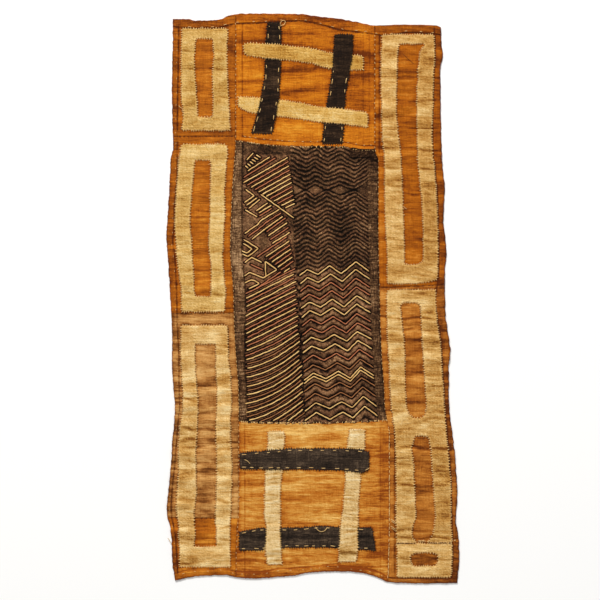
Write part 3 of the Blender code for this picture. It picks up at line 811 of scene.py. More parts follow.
class Bundle:
    """Threads gathered into one mesh."""

    def __init__(self, name, looks):
        self.name, self.looks, self.v, self.f, self.count = name, looks, [], [], 0

    def add(self, v, f):
        self.v.append(v)
        self.f.append(f + self.count)
        self.count += len(v)

    def thread(self, path, radius=0.6, gap=2.0, sides=5, flat=0.9, seed=None, wild=0.0,
               taper=0.45):
        path = np.asarray(path, float)
        if len(path) > 2:
            path = resample(path, 0.7, closed=False)
            path = soften(path, 2)
        path = resample(path, gap, closed=False)
        if wild:
            s = np.arange(len(path)) * gap
            path[:, 0] += wild * wander(seed or 1, s, 7)
            path[:, 1] += wild * wander((seed or 1) + 1, s, 7)
        r = radius * np.ones(len(path))
        if seed is not None:
            r *= 1 + 0.16 * wander(seed + 2, np.arange(len(path)) * gap, 5)
        v, f = tubes(path[None], r[None], sides, flat, taper=taper)
        self.add(v, f)

    def finish(self):
        if not self.v:
            return None
        return write_mesh(self.name, np.vstack(self.v), np.vstack(self.f), self.looks)


def soften(path, times):
    p = path.copy()
    for _ in range(times):
        p[1:-1] = 0.25 * p[:-2] + 0.5 * p[1:-1] + 0.25 * p[2:]
    return p


# ------------------------------------------------------- hems, seams, creases
# A Mark is a line on a cloth: a step up on one side, with painted shadow at its
# foot, a groove with painted shade in it, or only a band of darker or lighter
# fibre.  way says which way it runs.
Mark = namedtuple("Mark", "kind way line low high side width height dark")


def marked(marks, x, y):
    """Height and colour shift that a row of marks add at points: painted shadow at steps, painted shade in grooves,
    darker or lighter fibre in bands.
    """
    z, tone = np.zeros_like(x), np.zeros_like(x)
    for m in marks:
        s, v = (y, x) if m.way == "down" else (x, y)
        d = m.side * (v - m.line(s))
        gate = ease((s - m.low) / 6 + 0.5) * ease((m.high - s) / 6 + 0.5)
        if m.kind == "step":
            z += m.height * (0.5 + 0.5 * np.tanh(d / m.width)) * gate
            uneven = 0.75 + 0.35 * waves(9, s, v, 16)
            # Painted shadow at the foot of the step; above it the hem is darker fibre, with a faint painted
            # highlight along its edge.
            tone -= 1.2 * m.dark * uneven * np.exp(-((d + 1.0) / 1.5) ** 2) * gate
            tone -= (0.20 * (0.5 + 0.5 * np.tanh(d / 1.0)) - 0.12 * np.exp(-((d - 2.4) / 1.3) ** 2)) * gate
        else:
            # A groove gets painted shade along it; a band is darker or lighter fibre.
            uneven = (0.75 + 0.35 * waves(10, s, v, 14)) if m.kind == "groove" else 1.0
            z -= m.height * np.exp(-(d / m.width) ** 2) * gate
            tone -= 1.15 * m.dark * uneven * np.exp(-(d / m.width) ** 2) * gate
    return z, tone


def mark_points(marks):
    """Mesh points along the marks, so that their edges come out sharp."""
    out = []
    for m in marks:
        if m.kind == "band":
            continue
        s = np.arange(m.low, m.high, 2.2)
        v = m.line(s)
        for off in ((-1.3, -0.4, 0.5, 1.4) if m.kind == "step" else (-1.6, 0.0, 1.6)):
            out.append(np.column_stack([v + off, s] if m.way == "down" else [s, v + off]))
    return np.vstack(out) if out else None


Crease = namedtuple("Crease", "y width dark")
# Painted shade across the side strips, where they crumple; a negative dark paints a highlight.
CREASES_LEFT = [
    Crease(495, 3, 0.16), Crease(459, 4, 0.22), Crease(413, 3.5, 0.16),
    Crease(403, 3, 0.2), Crease(237, 4, 0.18), Crease(181, 3, 0.14),
    Crease(161, 3, 0.24), Crease(150, 2.5, 0.14), Crease(93, 4, 0.2),
    Crease(57, 4, 0.22), Crease(41, 3, 0.14), Crease(11, 4, 0.2),
    Crease(-93, 4, 0.22), Crease(-158, 3, 0.22), Crease(-173, 3.5, 0.25),
    Crease(-203, 3.5, 0.28), Crease(-231, 3, 0.26), Crease(-261, 5, 0.32),
    Crease(-284, 8, 0.42), Crease(-298, 4, 0.3), Crease(-327, 4, 0.3),
    Crease(-345, 3.5, 0.28), Crease(-385, 4, 0.3), Crease(-404, 5, 0.26),
    Crease(-424, 3, 0.2), Crease(-457, 4, 0.28), Crease(-479, 3.5, 0.24),
    Crease(-490, 3, 0.26), Crease(-529, 4, 0.2),
    Crease(-305, 3, -0.16), Crease(-218, 4, -0.14), Crease(-356, 4, -0.12),
]
CREASES_RIGHT = [
    Crease(473, 3, 0.14), Crease(443, 4, 0.24), Crease(397, 4, 0.18),
    Crease(363, 3, 0.14), Crease(341, 3, 0.2), Crease(317, 3, 0.16),
    Crease(299, 4, 0.22), Crease(261, 4, 0.2), Crease(225, 4, 0.22),
    Crease(210, 3, 0.22), Crease(119, 7, 0.2), Crease(-16, 3.5, 0.18),
    Crease(-39, 4, 0.28), Crease(-61, 4, 0.26), Crease(-84, 6, 0.3),
    Crease(-102, 2.5, 0.26), Crease(-125, 3.5, 0.2), Crease(-149, 6, 0.3),
    Crease(-171, 2.5, 0.2), Crease(-192, 1.8, 0.34), Crease(-207, 4, 0.22),
    Crease(-226, 3, 0.24), Crease(-297, 5, 0.4), Crease(-373, 4, 0.28),
    Crease(-386, 1.8, 0.28), Crease(-465, 3.5, 0.28), Crease(-477, 3.5, 0.3),
    Crease(-519, 3.5, 0.2),
]


def small_folds(seed, low, high, x0, x1, count):
    """Short faint wrinkles, spread unevenly down a strip, each painted as a shaded line with a highlight beside it.
    """
    rng = np.random.default_rng(seed)
    return [(rng.uniform(low, high), rng.uniform(x0, x1), rng.uniform(10, 42),
             rng.uniform(0.8, 1.7), rng.uniform(0.06, 0.2), rng.uniform(-0.09, 0.09))
            for _ in range(count)]


FOLDS_LEFT = (small_folds(31, -560, -20, -290, -150, 150)
              + small_folds(32, -20, 560, -290, -150, 80))
FOLDS_RIGHT = small_folds(33, -560, 560, 135, 285, 230)


def creased(x, y, seed=70):
    """Painted shade and highlight of the creases, folds and undulations at points of the side strips."""
    tone = np.zeros_like(x)
    left, right = x < SEAM_L(y), x > SEAM_R(y)
    for table, where, add in ((CREASES_LEFT, left, 0), (CREASES_RIGHT, right, 200)):
        if not where.any():
            continue
        px, py, out = x[where], y[where], np.zeros(where.sum())
        for k, c in enumerate(table):
            q = py - c.y + 2.6 * wander(seed + add + k, px, 26) + 0.03 * (px - px.mean())
            fade = np.clip(0.75 + 0.5 * wander(seed + add + k + 40, px, 22), 0.1, 1.25)
            w = 0.62 * c.width
            # Painted shade along each crease and a painted highlight just below it, as if lit from the top.
            out -= 1.25 * c.dark * fade * np.exp(-(q / w) ** 2)
            out += 0.4 * c.dark * fade * np.exp(-((q + 2.3 * w) / (1.3 * w)) ** 2)
        # Broad painted light and shade over the strip's undulations, stronger lower down on the left strip.
        down = 1.0 if add else 0.45 + 0.95 * ease((60 - py) / 160)
        out += down * (0.14 * waves(seed + add + 80, px * 0.3, py, 15)
                       + 0.07 * waves(seed + add + 81, px * 0.35, py, 6.5))
        # Each small fold: painted shade along it and a painted highlight below it.
        for at, mid, half, w, dark, lean in (FOLDS_LEFT if add == 0 else FOLDS_RIGHT):
            q = py - at - lean * (px - mid)
            close = np.abs(q) < 8
            if close.any():
                fade = np.exp(-((px[close] - mid) / half) ** 2)
                out[close] += dark * fade * (0.6 * np.exp(-((q[close] + 1.9 * w) / (1.2 * w)) ** 2)
                                             - np.exp(-(q[close] / w) ** 2))
        tone[where] = out
    return tone


# -------------------------------------------------------------- ground cloths
def corner(side, end):
    x = float(side(0.0))
    for _ in range(12):
        y = float(end(x))
        x = float(side(y))
    return x, y


def panel_loop(left, right, top, bottom, free="", gap=1.5, seed=0):
    """Outline between four border lines; free names the edges that are not
    sewn to a neighbour, which wander a little."""
    tl, tr = corner(left, top), corner(right, top)
    bl, br = corner(left, bottom), corner(right, bottom)

    def side(line, y0, y1, name, k):
        n = max(3, int(abs(y1 - y0) / gap))
        y = np.linspace(y0, y1, n, endpoint=False)
        x = line(y)
        if name in free:
            near = ease(np.minimum(np.abs(y - y0), np.abs(y - y1)) / 12)
            x = x + near * (0.55 * wander(seed + k, y, 9) + 0.35 * wander(seed + k + 9, y, 4))
        return np.column_stack([x, y])

    def end(line, x0, x1, name, k):
        n = max(3, int(abs(x1 - x0) / gap))
        x = np.linspace(x0, x1, n, endpoint=False)
        y = line(x)
        if name in free:
            near = ease(np.minimum(np.abs(x - x0), np.abs(x - x1)) / 12)
            y = y + near * (0.45 * wander(seed + k, x, 10) + 0.3 * wander(seed + k + 9, x, 4))
        return np.column_stack([x, y])

    return np.vstack([side(left, tl[1], bl[1], "L", 1), end(bottom, bl[0], br[0], "B", 2),
                      side(right, br[1], tr[1], "R", 3), end(top, tr[0], tl[0], "T", 4)])


HEM_TOP_LINE = smooth([
    Across(-279, 545), Across(-263, 543), Across(-228, 541), Across(-192, 542),
    Across(-164, 549), Across(-152, 551), Across(-117, 552), Across(-26, 556),
    Across(24, 547), Across(56, 538), Across(100, 533), Across(127, 529),
    Across(142, 526), Across(188, 533), Across(242, 530), Across(262, 527),
])
HEM_LEFT_LINE = smooth([
    Down(545, -269), Down(469, -270), Down(413, -271), Down(325, -272),
    Down(247, -272), Down(213, -275), Down(179, -278), Down(143, -278),
    Down(115, -281), Down(93, -278), Down(30, -274), Down(-73, -271),
    Down(-107, -269), Down(-177, -268), Down(-211, -267), Down(-245, -270),
    Down(-321, -276), Down(-421, -284), Down(-483, -275), Down(-550, -271),
])
HEM_BOTTOM_LINE = smooth([
    Across(-272, -550), Across(-238, -542), Across(-198, -542), Across(-187, -539),
    Across(-170, -542), Across(-154, -547), Across(-108, -548), Across(-86, -545),
    Across(-68, -541), Across(-40, -540), Across(-6, -538), Across(14, -535),
    Across(40, -532), Across(62, -536), Across(108, -542), Across(136, -550),
    Across(150, -558), Across(160, -560), Across(290, -561),
])
HEM_RIGHT_LINE = smooth([
    Down(540, 244), Down(483, 246), Down(445, 243), Down(383, 242), Down(349, 240),
    Down(299, 241), Down(253, 246), Down(215, 250), Down(157, 252), Down(99, 253),
    Down(39, 252), Down(19, 248), Down(-3, 245), Down(-15, 246), Down(-41, 250),
    Down(-87, 258), Down(-137, 260), Down(-175, 263), Down(-217, 264), Down(-263, 269),
    Down(-289, 271), Down(-329, 275), Down(-385, 278), Down(-435, 279), Down(-473, 281),
    Down(-501, 281), Down(-560, 279),
])
PLAIN_LEFT = smooth([Down(300, -141), Down(213, -142), Down(87, -141), Down(21, -136),
                     Down(-27, -134), Down(-73, -136), Down(-133, -136), Down(-187, -132),
                     Down(-250, -130)])
PLAIN_RIGHT = smooth([Down(300, 109), Down(213, 110), Down(-23, 117), Down(-117, 121),
                      Down(-203, 127), Down(-250, 131)])


def step(way, line, low, high, side, height=1.0, dark=0.55, width=0.55):
    return Mark("step", way, line, low, high, side, width, height, dark)


def groove(way, line, low, high, height=0.4, dark=0.35, width=1.6):
    return Mark("groove", way, line, low, high, 1, width, height, dark)


def band(way, line, low, high, width, dark):
    return Mark("band", way, line, low, high, 1, width, 0.0, dark)


def level(value):
    return lambda q: np.full_like(np.asarray(q, float), value)


def tilted(x0, y0, x1, y1):
    return lambda q: y0 + (np.asarray(q, float) - x0) * (y1 - y0) / (x1 - x0)


MARKS = {
    "ground_left_top": [
        step("across", HEM_TOP_LINE, -282, -156, 1),
        step("down", HEM_LEFT_LINE, 322, 548, -1, 0.9),
        groove("across", plus(CROSS_L1, 8), -272, -158, 0.3, 0.22),
    ],
    "ground_left_mid": [
        step("down", HEM_LEFT_LINE, -28, 328, -1, 0.9),
        groove("across", plus(CROSS_L2, 9), -272, -158, 0.3, 0.25),
    ],
    "ground_left_low": [
        step("down", HEM_LEFT_LINE, -440, -26, -1, 0.9, 0.4),
        groove("across", level(-51), -262, -176, 0.3, 0.62, 1.3),
        groove("down", level(-168.5), -112, -58, 0.3, 0.5, 1.2),
        groove("across", plus(CROSS_L2, -9), -272, -158, 0.2, 0.16),
    ],
    "ground_left_foot": [
        step("down", HEM_LEFT_LINE, -552, -436, -1, 0.9),
        step("across", HEM_BOTTOM_LINE, -280, -150, -1, 1.1),
    ],
    "ground_right_top": [
        step("across", HEM_TOP_LINE, 122, 262, 1),
        step("down", HEM_RIGHT_LINE, 25, 540, 1, 0.9, 0.6),
        groove("down", level(133), 290, 530, 0.45, 0.55, 1.4),
        groove("across", plus(CROSS_R1, 8), 150, 258, 0.3, 0.22),
    ],
    "ground_right_low": [
        step("down", HEM_RIGHT_LINE, -560, 26, 1, 0.9, 0.6),
        step("across", HEM_BOTTOM_LINE, 146, 292, -1, 0.9, 0.7),
        groove("down", level(164), -560, -250, 0.5, 0.5, 1.5),
        groove("across", plus(CROSS_R1, -6), 140, 262, 0.3, 0.25),
    ],
    "panel_top": [
        step("across", HEM_TOP_LINE, -158, 128, 1),
        groove("down", level(-141), 322, 548, 0.35, 0.5, 1.2),
        groove("down", level(101), 305, 528, 0.2, 0.2, 1.2),
        groove("down", level(113), 305, 535, 0.2, 0.22, 1.2),
        groove("across", plus(PANEL_TOP, 10), -140, 122, 0.5, 0.62, 1.2),
        band("across", tilted(-150, 516, 124, 506), -150, -60, 5, 0.22),
        band("across", tilted(-95, 512, 124, 486), -60, 124, 5, 0.2),
        band("across", tilted(-100, 452, 124, 470), -64, 40, 7, 0.3),
        band("across", tilted(-140, 434, -60, 436), -150, -100, 4, 0.3),
        band("across", tilted(40, 441, 124, 446), 44, 126, 6, 0.26),
        band("across", tilted(-64, 411, 40, 425), -64, 34, 6, 0.26),
        band("across", tilted(-60, 530, 30, 528), -60, 30, 3, 0.18),
        band("across", level(444), -150, -100, 10, -0.16),
        band("across", level(386), 66, 126, 10, 0.16),
        band("across", level(345), -62, 14, 12, -0.12),
        band("across", level(480), 86, 126, 12, 0.14),
    ],
    "panel_dark": [],
    "panel_bottom": [
        step("across", HEM_BOTTOM_LINE, -158, 152, -1, 1.2),
        groove("down", level(-136), -556, -250, 0.35, 0.42, 1.2),
        groove("down", level(135), -556, -255, 0.2, 0.26, 1.2),
        band("across", tilted(-150, -525, 150, -514), -150, 150, 9, 0.12),
        band("across", tilted(-150, -262, 150, -258), -150, 150, 5, -0.12),
        band("across", tilted(-60, -372, 40, -362), -62, 44, 5, -0.08),
        band("across", tilted(-60, -402, 50, -396), -62, 54, 5, 0.1),
        band("across", tilted(-60, -432, 50, -430), -62, 54, 4, -0.08),
    ],
}


# Darker (or paler) areas of the ground: middle, half sizes, how much darker.
PATCHES = {
    "ground_left_top": [(-213, 551, 70, 7, 0.08), (-161, 492, 9, 26, 0.32), (-163, 400, 8, 60, 0.1), (-205, 440, 12, 70, -0.06)],
    "ground_left_mid": [(-214, 175, 16, 90, 0.02)],
    "ground_left_low": [(-216, -42, 50, 7, -0.1), (-274, -240, 6, 160, -0.12), (-213, -300, 22, 22, 0.12), (-276, -300, 10, 40, 0.08), (-276, -380, 10, 60, 0.04),
                        (-213, -130, 20, 40, -0.06)],
    "ground_left_foot": [(-215, -548, 70, 10, -0.28)],
    "ground_right_top": [(134, 137, 8, 100, -0.08), (193, 120, 22, 9, 0.16), (211, 79, 7, 9, -0.22), (195, 200, 18, 60, 0.05)],
    # The narrow dark patches at x 256 to 285 are painted shade along the fold of the right hem; the others are
    # darker or paler fibre.
    "ground_right_low": [(272, -300, 7, 45, 0.24), (285, -520, 7, 60, 0.2), (222, -522, 34, 18, 0.17), (256, -95, 6, 50, 0.2), (266, -220, 5, 50, 0.2), (281, -373, 5, 90, -0.12), (217, -370, 18, 80, 0.1), (217, -287, 20, 14, 0.16), (208, -110, 22, 34, 0.1)],
    "panel_top": [(-20, 440, 44, 14, 0.06), (-20, 405, 44, 8, -0.12), (96, 440, 30, 70, 0.12), (-20, 470, 140, 110, 0.05), (-118, 430, 26, 24, -0.03), (-20, 335, 60, 16, -0.08), (-20, 560, 150, 8, 0.13),
                  (-112, 345, 22, 14, -0.08), (-20, 500, 60, 30, 0.08), (-110, 532, 40, 14, 0.08)],
    "panel_bottom": [(122, -380, 22, 130, 0.16), (146, -400, 10, 180, 0.25), (-149, -400, 7, 160, 0.2), (-10, -268, 110, 16, -0.08), (-118, -395, 18, 55, 0.10),
                     (-20, -415, 60, 40, 0.1), (0, -545, 160, 16, 0.16), (0, -558, 160, 7, 0.1), (-120, -530, 30, 20, 0.1),
                     (100, -520, 30, 24, 0.2), (-30, -352, 55, 6, -0.14), (10, -440, 50, 5, -0.14)],
}


def ground_sheet(name, looks, borders, free, seed, gap=2.9, plain_tone=0.0):
    left, right, top, bottom = borders
    loop = panel_loop(left, right, top, bottom, free, seed=seed)
    marks = MARKS[name]

    def upper(x, y, d):
        z, _ = marked(marks, x, y)
        z = land(x, y) + z
        if name == "panel_top":
            z = z + 0.9 * ease(1 - (y - PANEL_TOP(x)) / 8)
        if name == "panel_bottom":
            z = z + 0.9 * ease(1 - (PANEL_FOOT(x) - y) / 8)
        return np.maximum(z - 0.75 * np.exp(-(d / 1.5) ** 2), 0.25)

    def lower(x, y, d):
        return np.maximum(land(x, y) - CLOTH, 0.0)

    def shades(x, y, d):
        _, tone = marked(marks, x, y)
        # Painted shade: the creases, and a darker line along the cloth's own edges, where it dips into its seams.
        tone = tone + creased(x, y) - 0.34 * np.exp(-(d / 1.8) ** 2) + plain_tone
        # Painted shade on the ground beside the outlines of the applied cloths.
        beside = distance(np.column_stack([x, y]), BESIDE)
        uneven = 0.8 + 0.3 * waves(seed + 4, x, y, 7)
        tone = tone - 0.2 * uneven * np.exp(-(beside / 1.6) ** 2)
        tone = tone - 0.10 * np.exp(-(beside / 6.0) ** 2)
        for px, py, rx, ry, dark in PATCHES.get(name, ()):
            q = np.hypot((x - px) / rx, (y - py) / ry) + 0.22 * waves(seed + 8, x, y, 14)
            tone = tone - dark * ease(1.6 - q)
        tone = tone + 0.07 * waves(seed + 3, x * 0.4, y, 22)
        return {"tone": tone}

    extra = np.vstack([mark_points(marks), BESIDE_POINTS])
    obj = cloth(name + "_cloth", looks, [loop], gap, upper, lower, seed, extra, shades)
    return obj


LAP = 0.25
GROUNDS = [
    ("ground_left_top", ORANGE_SIDE, (LEFT, plus(SEAM_L, LAP), TOP, plus(CROSS_L1, -LAP)), "LT"),
    ("ground_left_mid", ORANGE_SIDE, (LEFT, plus(SEAM_L, LAP), plus(CROSS_L1, LAP), plus(CROSS_L2, -LAP)), "L"),
    ("ground_left_low", TAN, (LEFT, plus(SEAM_L, LAP), plus(CROSS_L2, LAP), plus(CROSS_L3, -LAP)), "L"),
    ("ground_left_foot", ORANGE_SIDE, (LEFT, plus(SEAM_L, LAP), plus(CROSS_L3, LAP), BOTTOM), "LB"),
    ("ground_right_top", RUST, (plus(SEAM_R, -LAP), RIGHT, TOP, plus(CROSS_R1, -LAP)), "RT"),
    ("ground_right_low", RUST_LOW, (plus(SEAM_R, -LAP), RIGHT, plus(CROSS_R1, LAP), BOTTOM), "RB"),
    ("panel_top", ORANGE, (plus(SEAM_L, -LAP), plus(SEAM_R, LAP), TOP, PANEL_TOP), "T"),
    ("panel_bottom", GOLD, (plus(SEAM_L, -LAP), plus(SEAM_R, LAP), PANEL_FOOT, BOTTOM), "B"),
]


# ------------------------------------------------------------- applied cloths
def side_loop(rows, reach=2.4, notch=None, bow=0.0):
    """Outline of a piece given by rows down the cloth, its corners softened."""
    left, right = smooth([(r.y, r.left) for r in rows]), smooth([(r.y, r.right) for r in rows])
    y = np.arange(rows[0].y, rows[-1].y, -1.5)
    up = y[::-1]
    parts = [np.column_stack([left(y), y])]
    if notch:
        nl, nr = smooth([(r.y, r.left) for r in notch]), smooth([(r.y, r.right) for r in notch])
        ny = np.arange(rows[-1].y, notch[0].y, 1.5)
        parts += [np.column_stack([nl(ny), ny]), np.column_stack([nr(ny[::-1]), ny[::-1]])]
    parts.append(np.column_stack([right(up), up]))
    return rounded(np.vstack(parts), reach)


def band_loop(rows, reach=2.4):
    top, foot = smooth([(r.x, r.top) for r in rows]), smooth([(r.x, r.bottom) for r in rows])
    x = np.arange(rows[0].x, rows[-1].x, 1.5)
    return rounded(np.vstack([np.column_stack([x, foot(x)]),
                              np.column_stack([x[::-1], top(x[::-1])])]), reach)


def whipped(loop, seed, amount=1.2, pitch=4.8, rough=0.5, back=0.0):
    """The outline pulled in at each whip stitch, and where the stitches are."""
    rng = np.random.default_rng(seed)
    p = resample(loop, 0.5)
    n = normals(p)
    s = np.arange(len(p)) * 0.5
    total = len(p) * 0.5
    gaps = pitch * rng.uniform(0.6, 1.4, int(total / pitch))
    at = np.cumsum(gaps) * total / gaps.sum()
    k = np.searchsorted(at, s) % len(at)
    before = np.where(k > 0, at[k - 1], 0.0)
    t = np.clip((s - before) / np.maximum(at[k] - before, 0.1), 0, 1)
    size = 1.05 * amount * rng.uniform(0.2, 1.6, len(at))[k]
    out = size * np.sin(math.pi * t) ** 0.8 - 0.22 * amount - back
    out = out + rough * wander(seed + 1, s, 14) + 0.25 * wander(seed + 2, s, 5)
    q = p + n * out[:, None]
    at = at - 0.5 * np.diff(at, prepend=0.0)
    i = np.minimum((at / 0.5).astype(int), len(p) - 1)
    along = np.column_stack([-n[i, 1], n[i, 0]])
    return resample(q, 1.0), (q[i], n[i], along)


STITCHES = []         # (piece, places, outward, along, lift function)


def window_of(x, y, climbs, way):
    """1 where a strip lies on another one, 0 elsewhere."""
    s = y if way == "down" else x
    out = np.zeros_like(s)
    for low, high in climbs:
        out = np.maximum(out, ease((s - low + CLIMB) / CLIMB) * ease((high + CLIMB - s) / CLIMB))
    return out


def applied(name, looks, outer, windows=(), climbs=(), way="down", seed=1, amount=1.2,
            gap=2.5, shade=None, pitch=4.8, puff=0.45, folds=(), pale=0.0):
    if area_of(outer) < 0:
        outer = outer[::-1]
    loops, sewn = [], []
    for k, loop in enumerate([outer, *windows]):
        if k and area_of(loop) > 0:
            loop = loop[::-1]
        cut, places = whipped(loop, seed + 10 * k, amount, pitch, back=1.3 if k else 0.2)
        loops.append(cut)
        sewn.append(places)

    def lift(x, y):
        return 1.9 * window_of(x, y, climbs, way)

    def crumples(x, y):
        """Height of the wrinkles across a strip, with painted shade in each and a painted highlight beside it."""
        z, tone = np.zeros_like(x), np.zeros_like(x)
        s, v = (y, x) if way == "down" else (x, y)
        for at, lean, w, dark, mid in folds:
            q = s - at - lean * (v - v.mean()) + 0.8 * wander(seed + 70, v, 12)
            fade = 0.4 + 0.6 * np.exp(-((v - v.mean() - mid) / 14) ** 2)
            tone += dark * fade * (0.65 * np.exp(-((q + 2.2 * w) / (1.5 * w)) ** 2)
                                   - np.exp(-(q / w) ** 2))
            z += 1.6 * dark * fade * (np.exp(-((q + 1.8 * w) / (1.5 * w)) ** 2)
                                      - 0.6 * np.exp(-(q / w) ** 2))
        return z, tone

    def upper(x, y, d):
        return (land(x, y) + 0.12 + 0.95 * (1 - np.exp(-(d / 1.0) ** 2))
                + puff * (1 - np.exp(-d / 5.0)) + 0.12 * waves(seed + 5, x, y, 8) * (d > 2)
                + np.clip(crumples(x, y)[0], -0.35, 0.6) * (1 - np.exp(-d / 2.0)) + lift(x, y))

    def lower(x, y, d):
        return land(x, y) + 0.02 + lift(x, y)

    def shades(x, y, d):
        tone = pale + creased(x, y) + 0.06 * waves(seed + 6, x * 0.6, y, 16)
        # The very edge is darker, partly brown fibre and partly painted shade where the edge turns down; it is a
        # little lighter just inside.
        tone = tone - 0.2 * np.exp(-(d / 0.8) ** 2) + 0.08 * np.exp(-((d - 2.2) / 1.4) ** 2)
        if shade:
            tone = tone + shade(x, y, d)
        return {"tone": tone + crumples(x, y)[1]}

    cloth(name + "_cloth", looks, loops, gap, upper, lower, seed, None, shades)
    SURFACE[name] = lambda x, y: land(x, y) + 1.07 + puff * 0.4 + lift(x, y)
    STITCHES.append((name, sewn, lift))
    return loops


def crumple(seed, low, high, count, dark=0.2):
    """Wrinkles across a strip: place, lean, width, how dark its painted shade is, how far off its middle."""
    rng = np.random.default_rng(seed)
    at = np.linspace(low, high, count) + rng.uniform(-4, 4, count)
    return [(a, rng.uniform(-0.3, 0.3), rng.uniform(0.9, 2.2), dark * rng.uniform(0.35, 1.3),
             rng.uniform(-14, 14)) for a in at]


def pocket(rows, reach=2.4):
    return side_loop(rows, reach)


def bands_shade(rows):
    def shade(x, y, d):
        tone = np.zeros_like(x)
        for k, (way, a, b, width, dark) in enumerate(rows):
            s, v = (y, x) if way == "down" else (x, y)
            q = v - (a + b * s) + 1.5 * wander(400 + k, s, 20)
            tone -= dark * np.exp(-(q / width) ** 2)
        return tone
    return shade


applied("frame_left_top", CREAM, side_loop(FRAME_LEFT_TOP, 2.4),
        [pocket(WINDOW_LEFT_TOP, 1.7)], seed=2000, amount=1.0, pale=-0.06)
applied("frame_left_mid", CREAM, side_loop(FRAME_LEFT_MID, 2.2),
        [pocket(WINDOW_LEFT_MID, 1.6)], seed=2100, amount=1.05, shade=lambda x, y, d: 0.08 * ease((x + 222) / 20))
applied("frame_left_low", CREAM_WARM, side_loop(FRAME_LEFT_LOW, 1.9),
        [pocket(WINDOW_LEFT_LOW, 1.4)], seed=2200, amount=1.0, pale=0.09, shade=bands_shade([
            ("across", -290, 0.05, 16, 0.16), ("across", -410, 0.02, 10, 0.10)]))
applied("frame_right_top", CREAM_WARM, side_loop(FRAME_RIGHT_TOP, 2.0),
        [pocket(WINDOW_RIGHT_TOP, 1.9)], seed=2300, amount=0.9,
        shade=lambda x, y, d: -0.04 - 0.12 * ease((x - 205) / 20))
applied("frame_right_low", CREAM_WARM, side_loop(FRAME_RIGHT_LOW, 1.8, NOTCH_RIGHT_LOW),
        [pocket(WINDOW_RIGHT_LOW, 1.9)], seed=2400, amount=1.0,
        shade=lambda x, y, d: -0.11 * ease((x - 222) / 14) - 0.08 * ease((-250 - y) / 50))
applied("frame_right_foot", CREAM_WARM, side_loop(FRAME_RIGHT_FOOT, 1.8),
        [pocket(WINDOW_RIGHT_FOOT, 1.8)], seed=2500, amount=1.0)
applied("strip_black_a", BLACK, side_loop(STRIP_BLACK_A, 1.6), climbs=[(361, 405)],
        seed=2600, amount=0.9, folds=crumple(41, 335, 548, 18, 0.26), shade=bands_shade([
            ("across", 448, 0.1, 7, -0.16), ("across", 402, 0.1, 6, 0.2), ("across", 352, 0.2, 8, -0.1)]))
applied("strip_black_b", BLACK, side_loop(STRIP_BLACK_B, 1.6), climbs=[(455, 494)],
        seed=2700, amount=1.3, folds=crumple(42, 315, 520, 13, 0.16))
applied("strip_cream_a", CREAM_GOLD, band_loop(STRIP_CREAM_A, 1.5), climbs=[(-99, -61)], pale=-0.09,
        way="across", seed=2800, amount=1.1, folds=crumple(43, -130, 95, 12, 0.08))
applied("strip_cream_b", CREAM_GOLD, band_loop(STRIP_CREAM_B, 1.8), climbs=[(19, 66)],
        way="across", seed=2900, amount=1.0, pale=0.08, folds=crumple(44, -140, 105, 13, 0.1))
applied("strip_black_upper", BLACK_LOW, band_loop(STRIP_BLACK_UPPER, 1.6),
        climbs=[(-97, -55), (63, 106)], way="across", seed=3000, amount=1.1,
        folds=crumple(45, -140, 108, 14, 0.12))
applied("strip_black_lower", BLACK_LOW, band_loop(STRIP_BLACK_LOWER, 1.6),
        way="across", seed=3100, amount=1.1, folds=crumple(46, -140, 118, 13, 0.1), shade=bands_shade([
            ("across", -476, 0.0, 3.5, 0.25)]))
applied("strip_cream_c", CREAM_STRIP, side_loop(STRIP_CREAM_C, 1.5), climbs=[(-506, -456)],
        seed=3200, amount=1.2, folds=crumple(47, -528, -272, 24, 0.26), pale=0.05)
applied("strip_cream_d", CREAM_STRIP, side_loop(STRIP_CREAM_D, 1.5), climbs=[(-506, -453)],
        seed=3300, amount=1.2, folds=crumple(48, -500, -270, 22, 0.26), shade=bands_shade([("across", -508, 0.0, 5, 0.5),
                                                 ("across", -516, 0.0, 4, -0.2)]))

# Outlines of the applied cloths, beside which the ground cloths get painted shade.
OUTLINES = [l for loops in LOOPS.values() for l in loops]
BESIDE = np.vstack([resample(l, 1.0) for l in OUTLINES])
BESIDE_POINTS = np.vstack([resample(l + normals(l) * o, 2.0) for l in OUTLINES for o in (0.5, 2.4)])
for k, (name, looks, borders, free) in enumerate(GROUNDS):
    ground_sheet(name, looks, borders, free, 1000 + 37 * k)


# -------------------------------------------------------- embroidery: pattern
# Zigzag rows of the right half: where the kinks of some rows stand, and how
# far each kink stands over the row's first peak.  Rows between follow them.
Chart = namedtuple("Chart", "row start p1 v1 p2 v2 p3 end")
ZIG_AT = [Chart(-10, -46, -14, 4, 27, 54, 83, 112), Chart(0, -26, -11, 11, 34, 57, 86, 113),
          Chart(8, -20, -3, 19, 43, 68, 89, 117), Chart(16, -16, 8, 35, 60, 81, 103, 130)]
ZIG_RISE = [Chart(-10, -16, 1.5, -11, 2.5, -10, 1.5, -17), Chart(0, -12, 0, -11, 7, -9, 16, -3),
            Chart(8, -14, 0, -9, 5, -9, 11, -5), Chart(16, -17, 0, -13, 1, -10, 12, -7)]
FIRST_PEAK = 58.0     # height of row 0
ROW = 15.9            # rows are this far apart, a little more further down
MIRROR = 217.0        # above this the pattern is turned over


def kinks(n):
    rows = [c.row for c in ZIG_AT]
    at = np.array([np.interp(n, rows, [c[k] for c in ZIG_AT]) for k in range(1, 8)])
    up = np.array([np.interp(n, rows, [c[k] for c in ZIG_RISE]) for k in range(1, 8)])
    return at, up + FIRST_PEAK - ROW * n - 0.125 * max(n, 0) ** 2


ROWS = np.arange(-11.0, 19.01, 0.25)
COLUMNS = np.arange(-60.0, 145.01, 0.5)


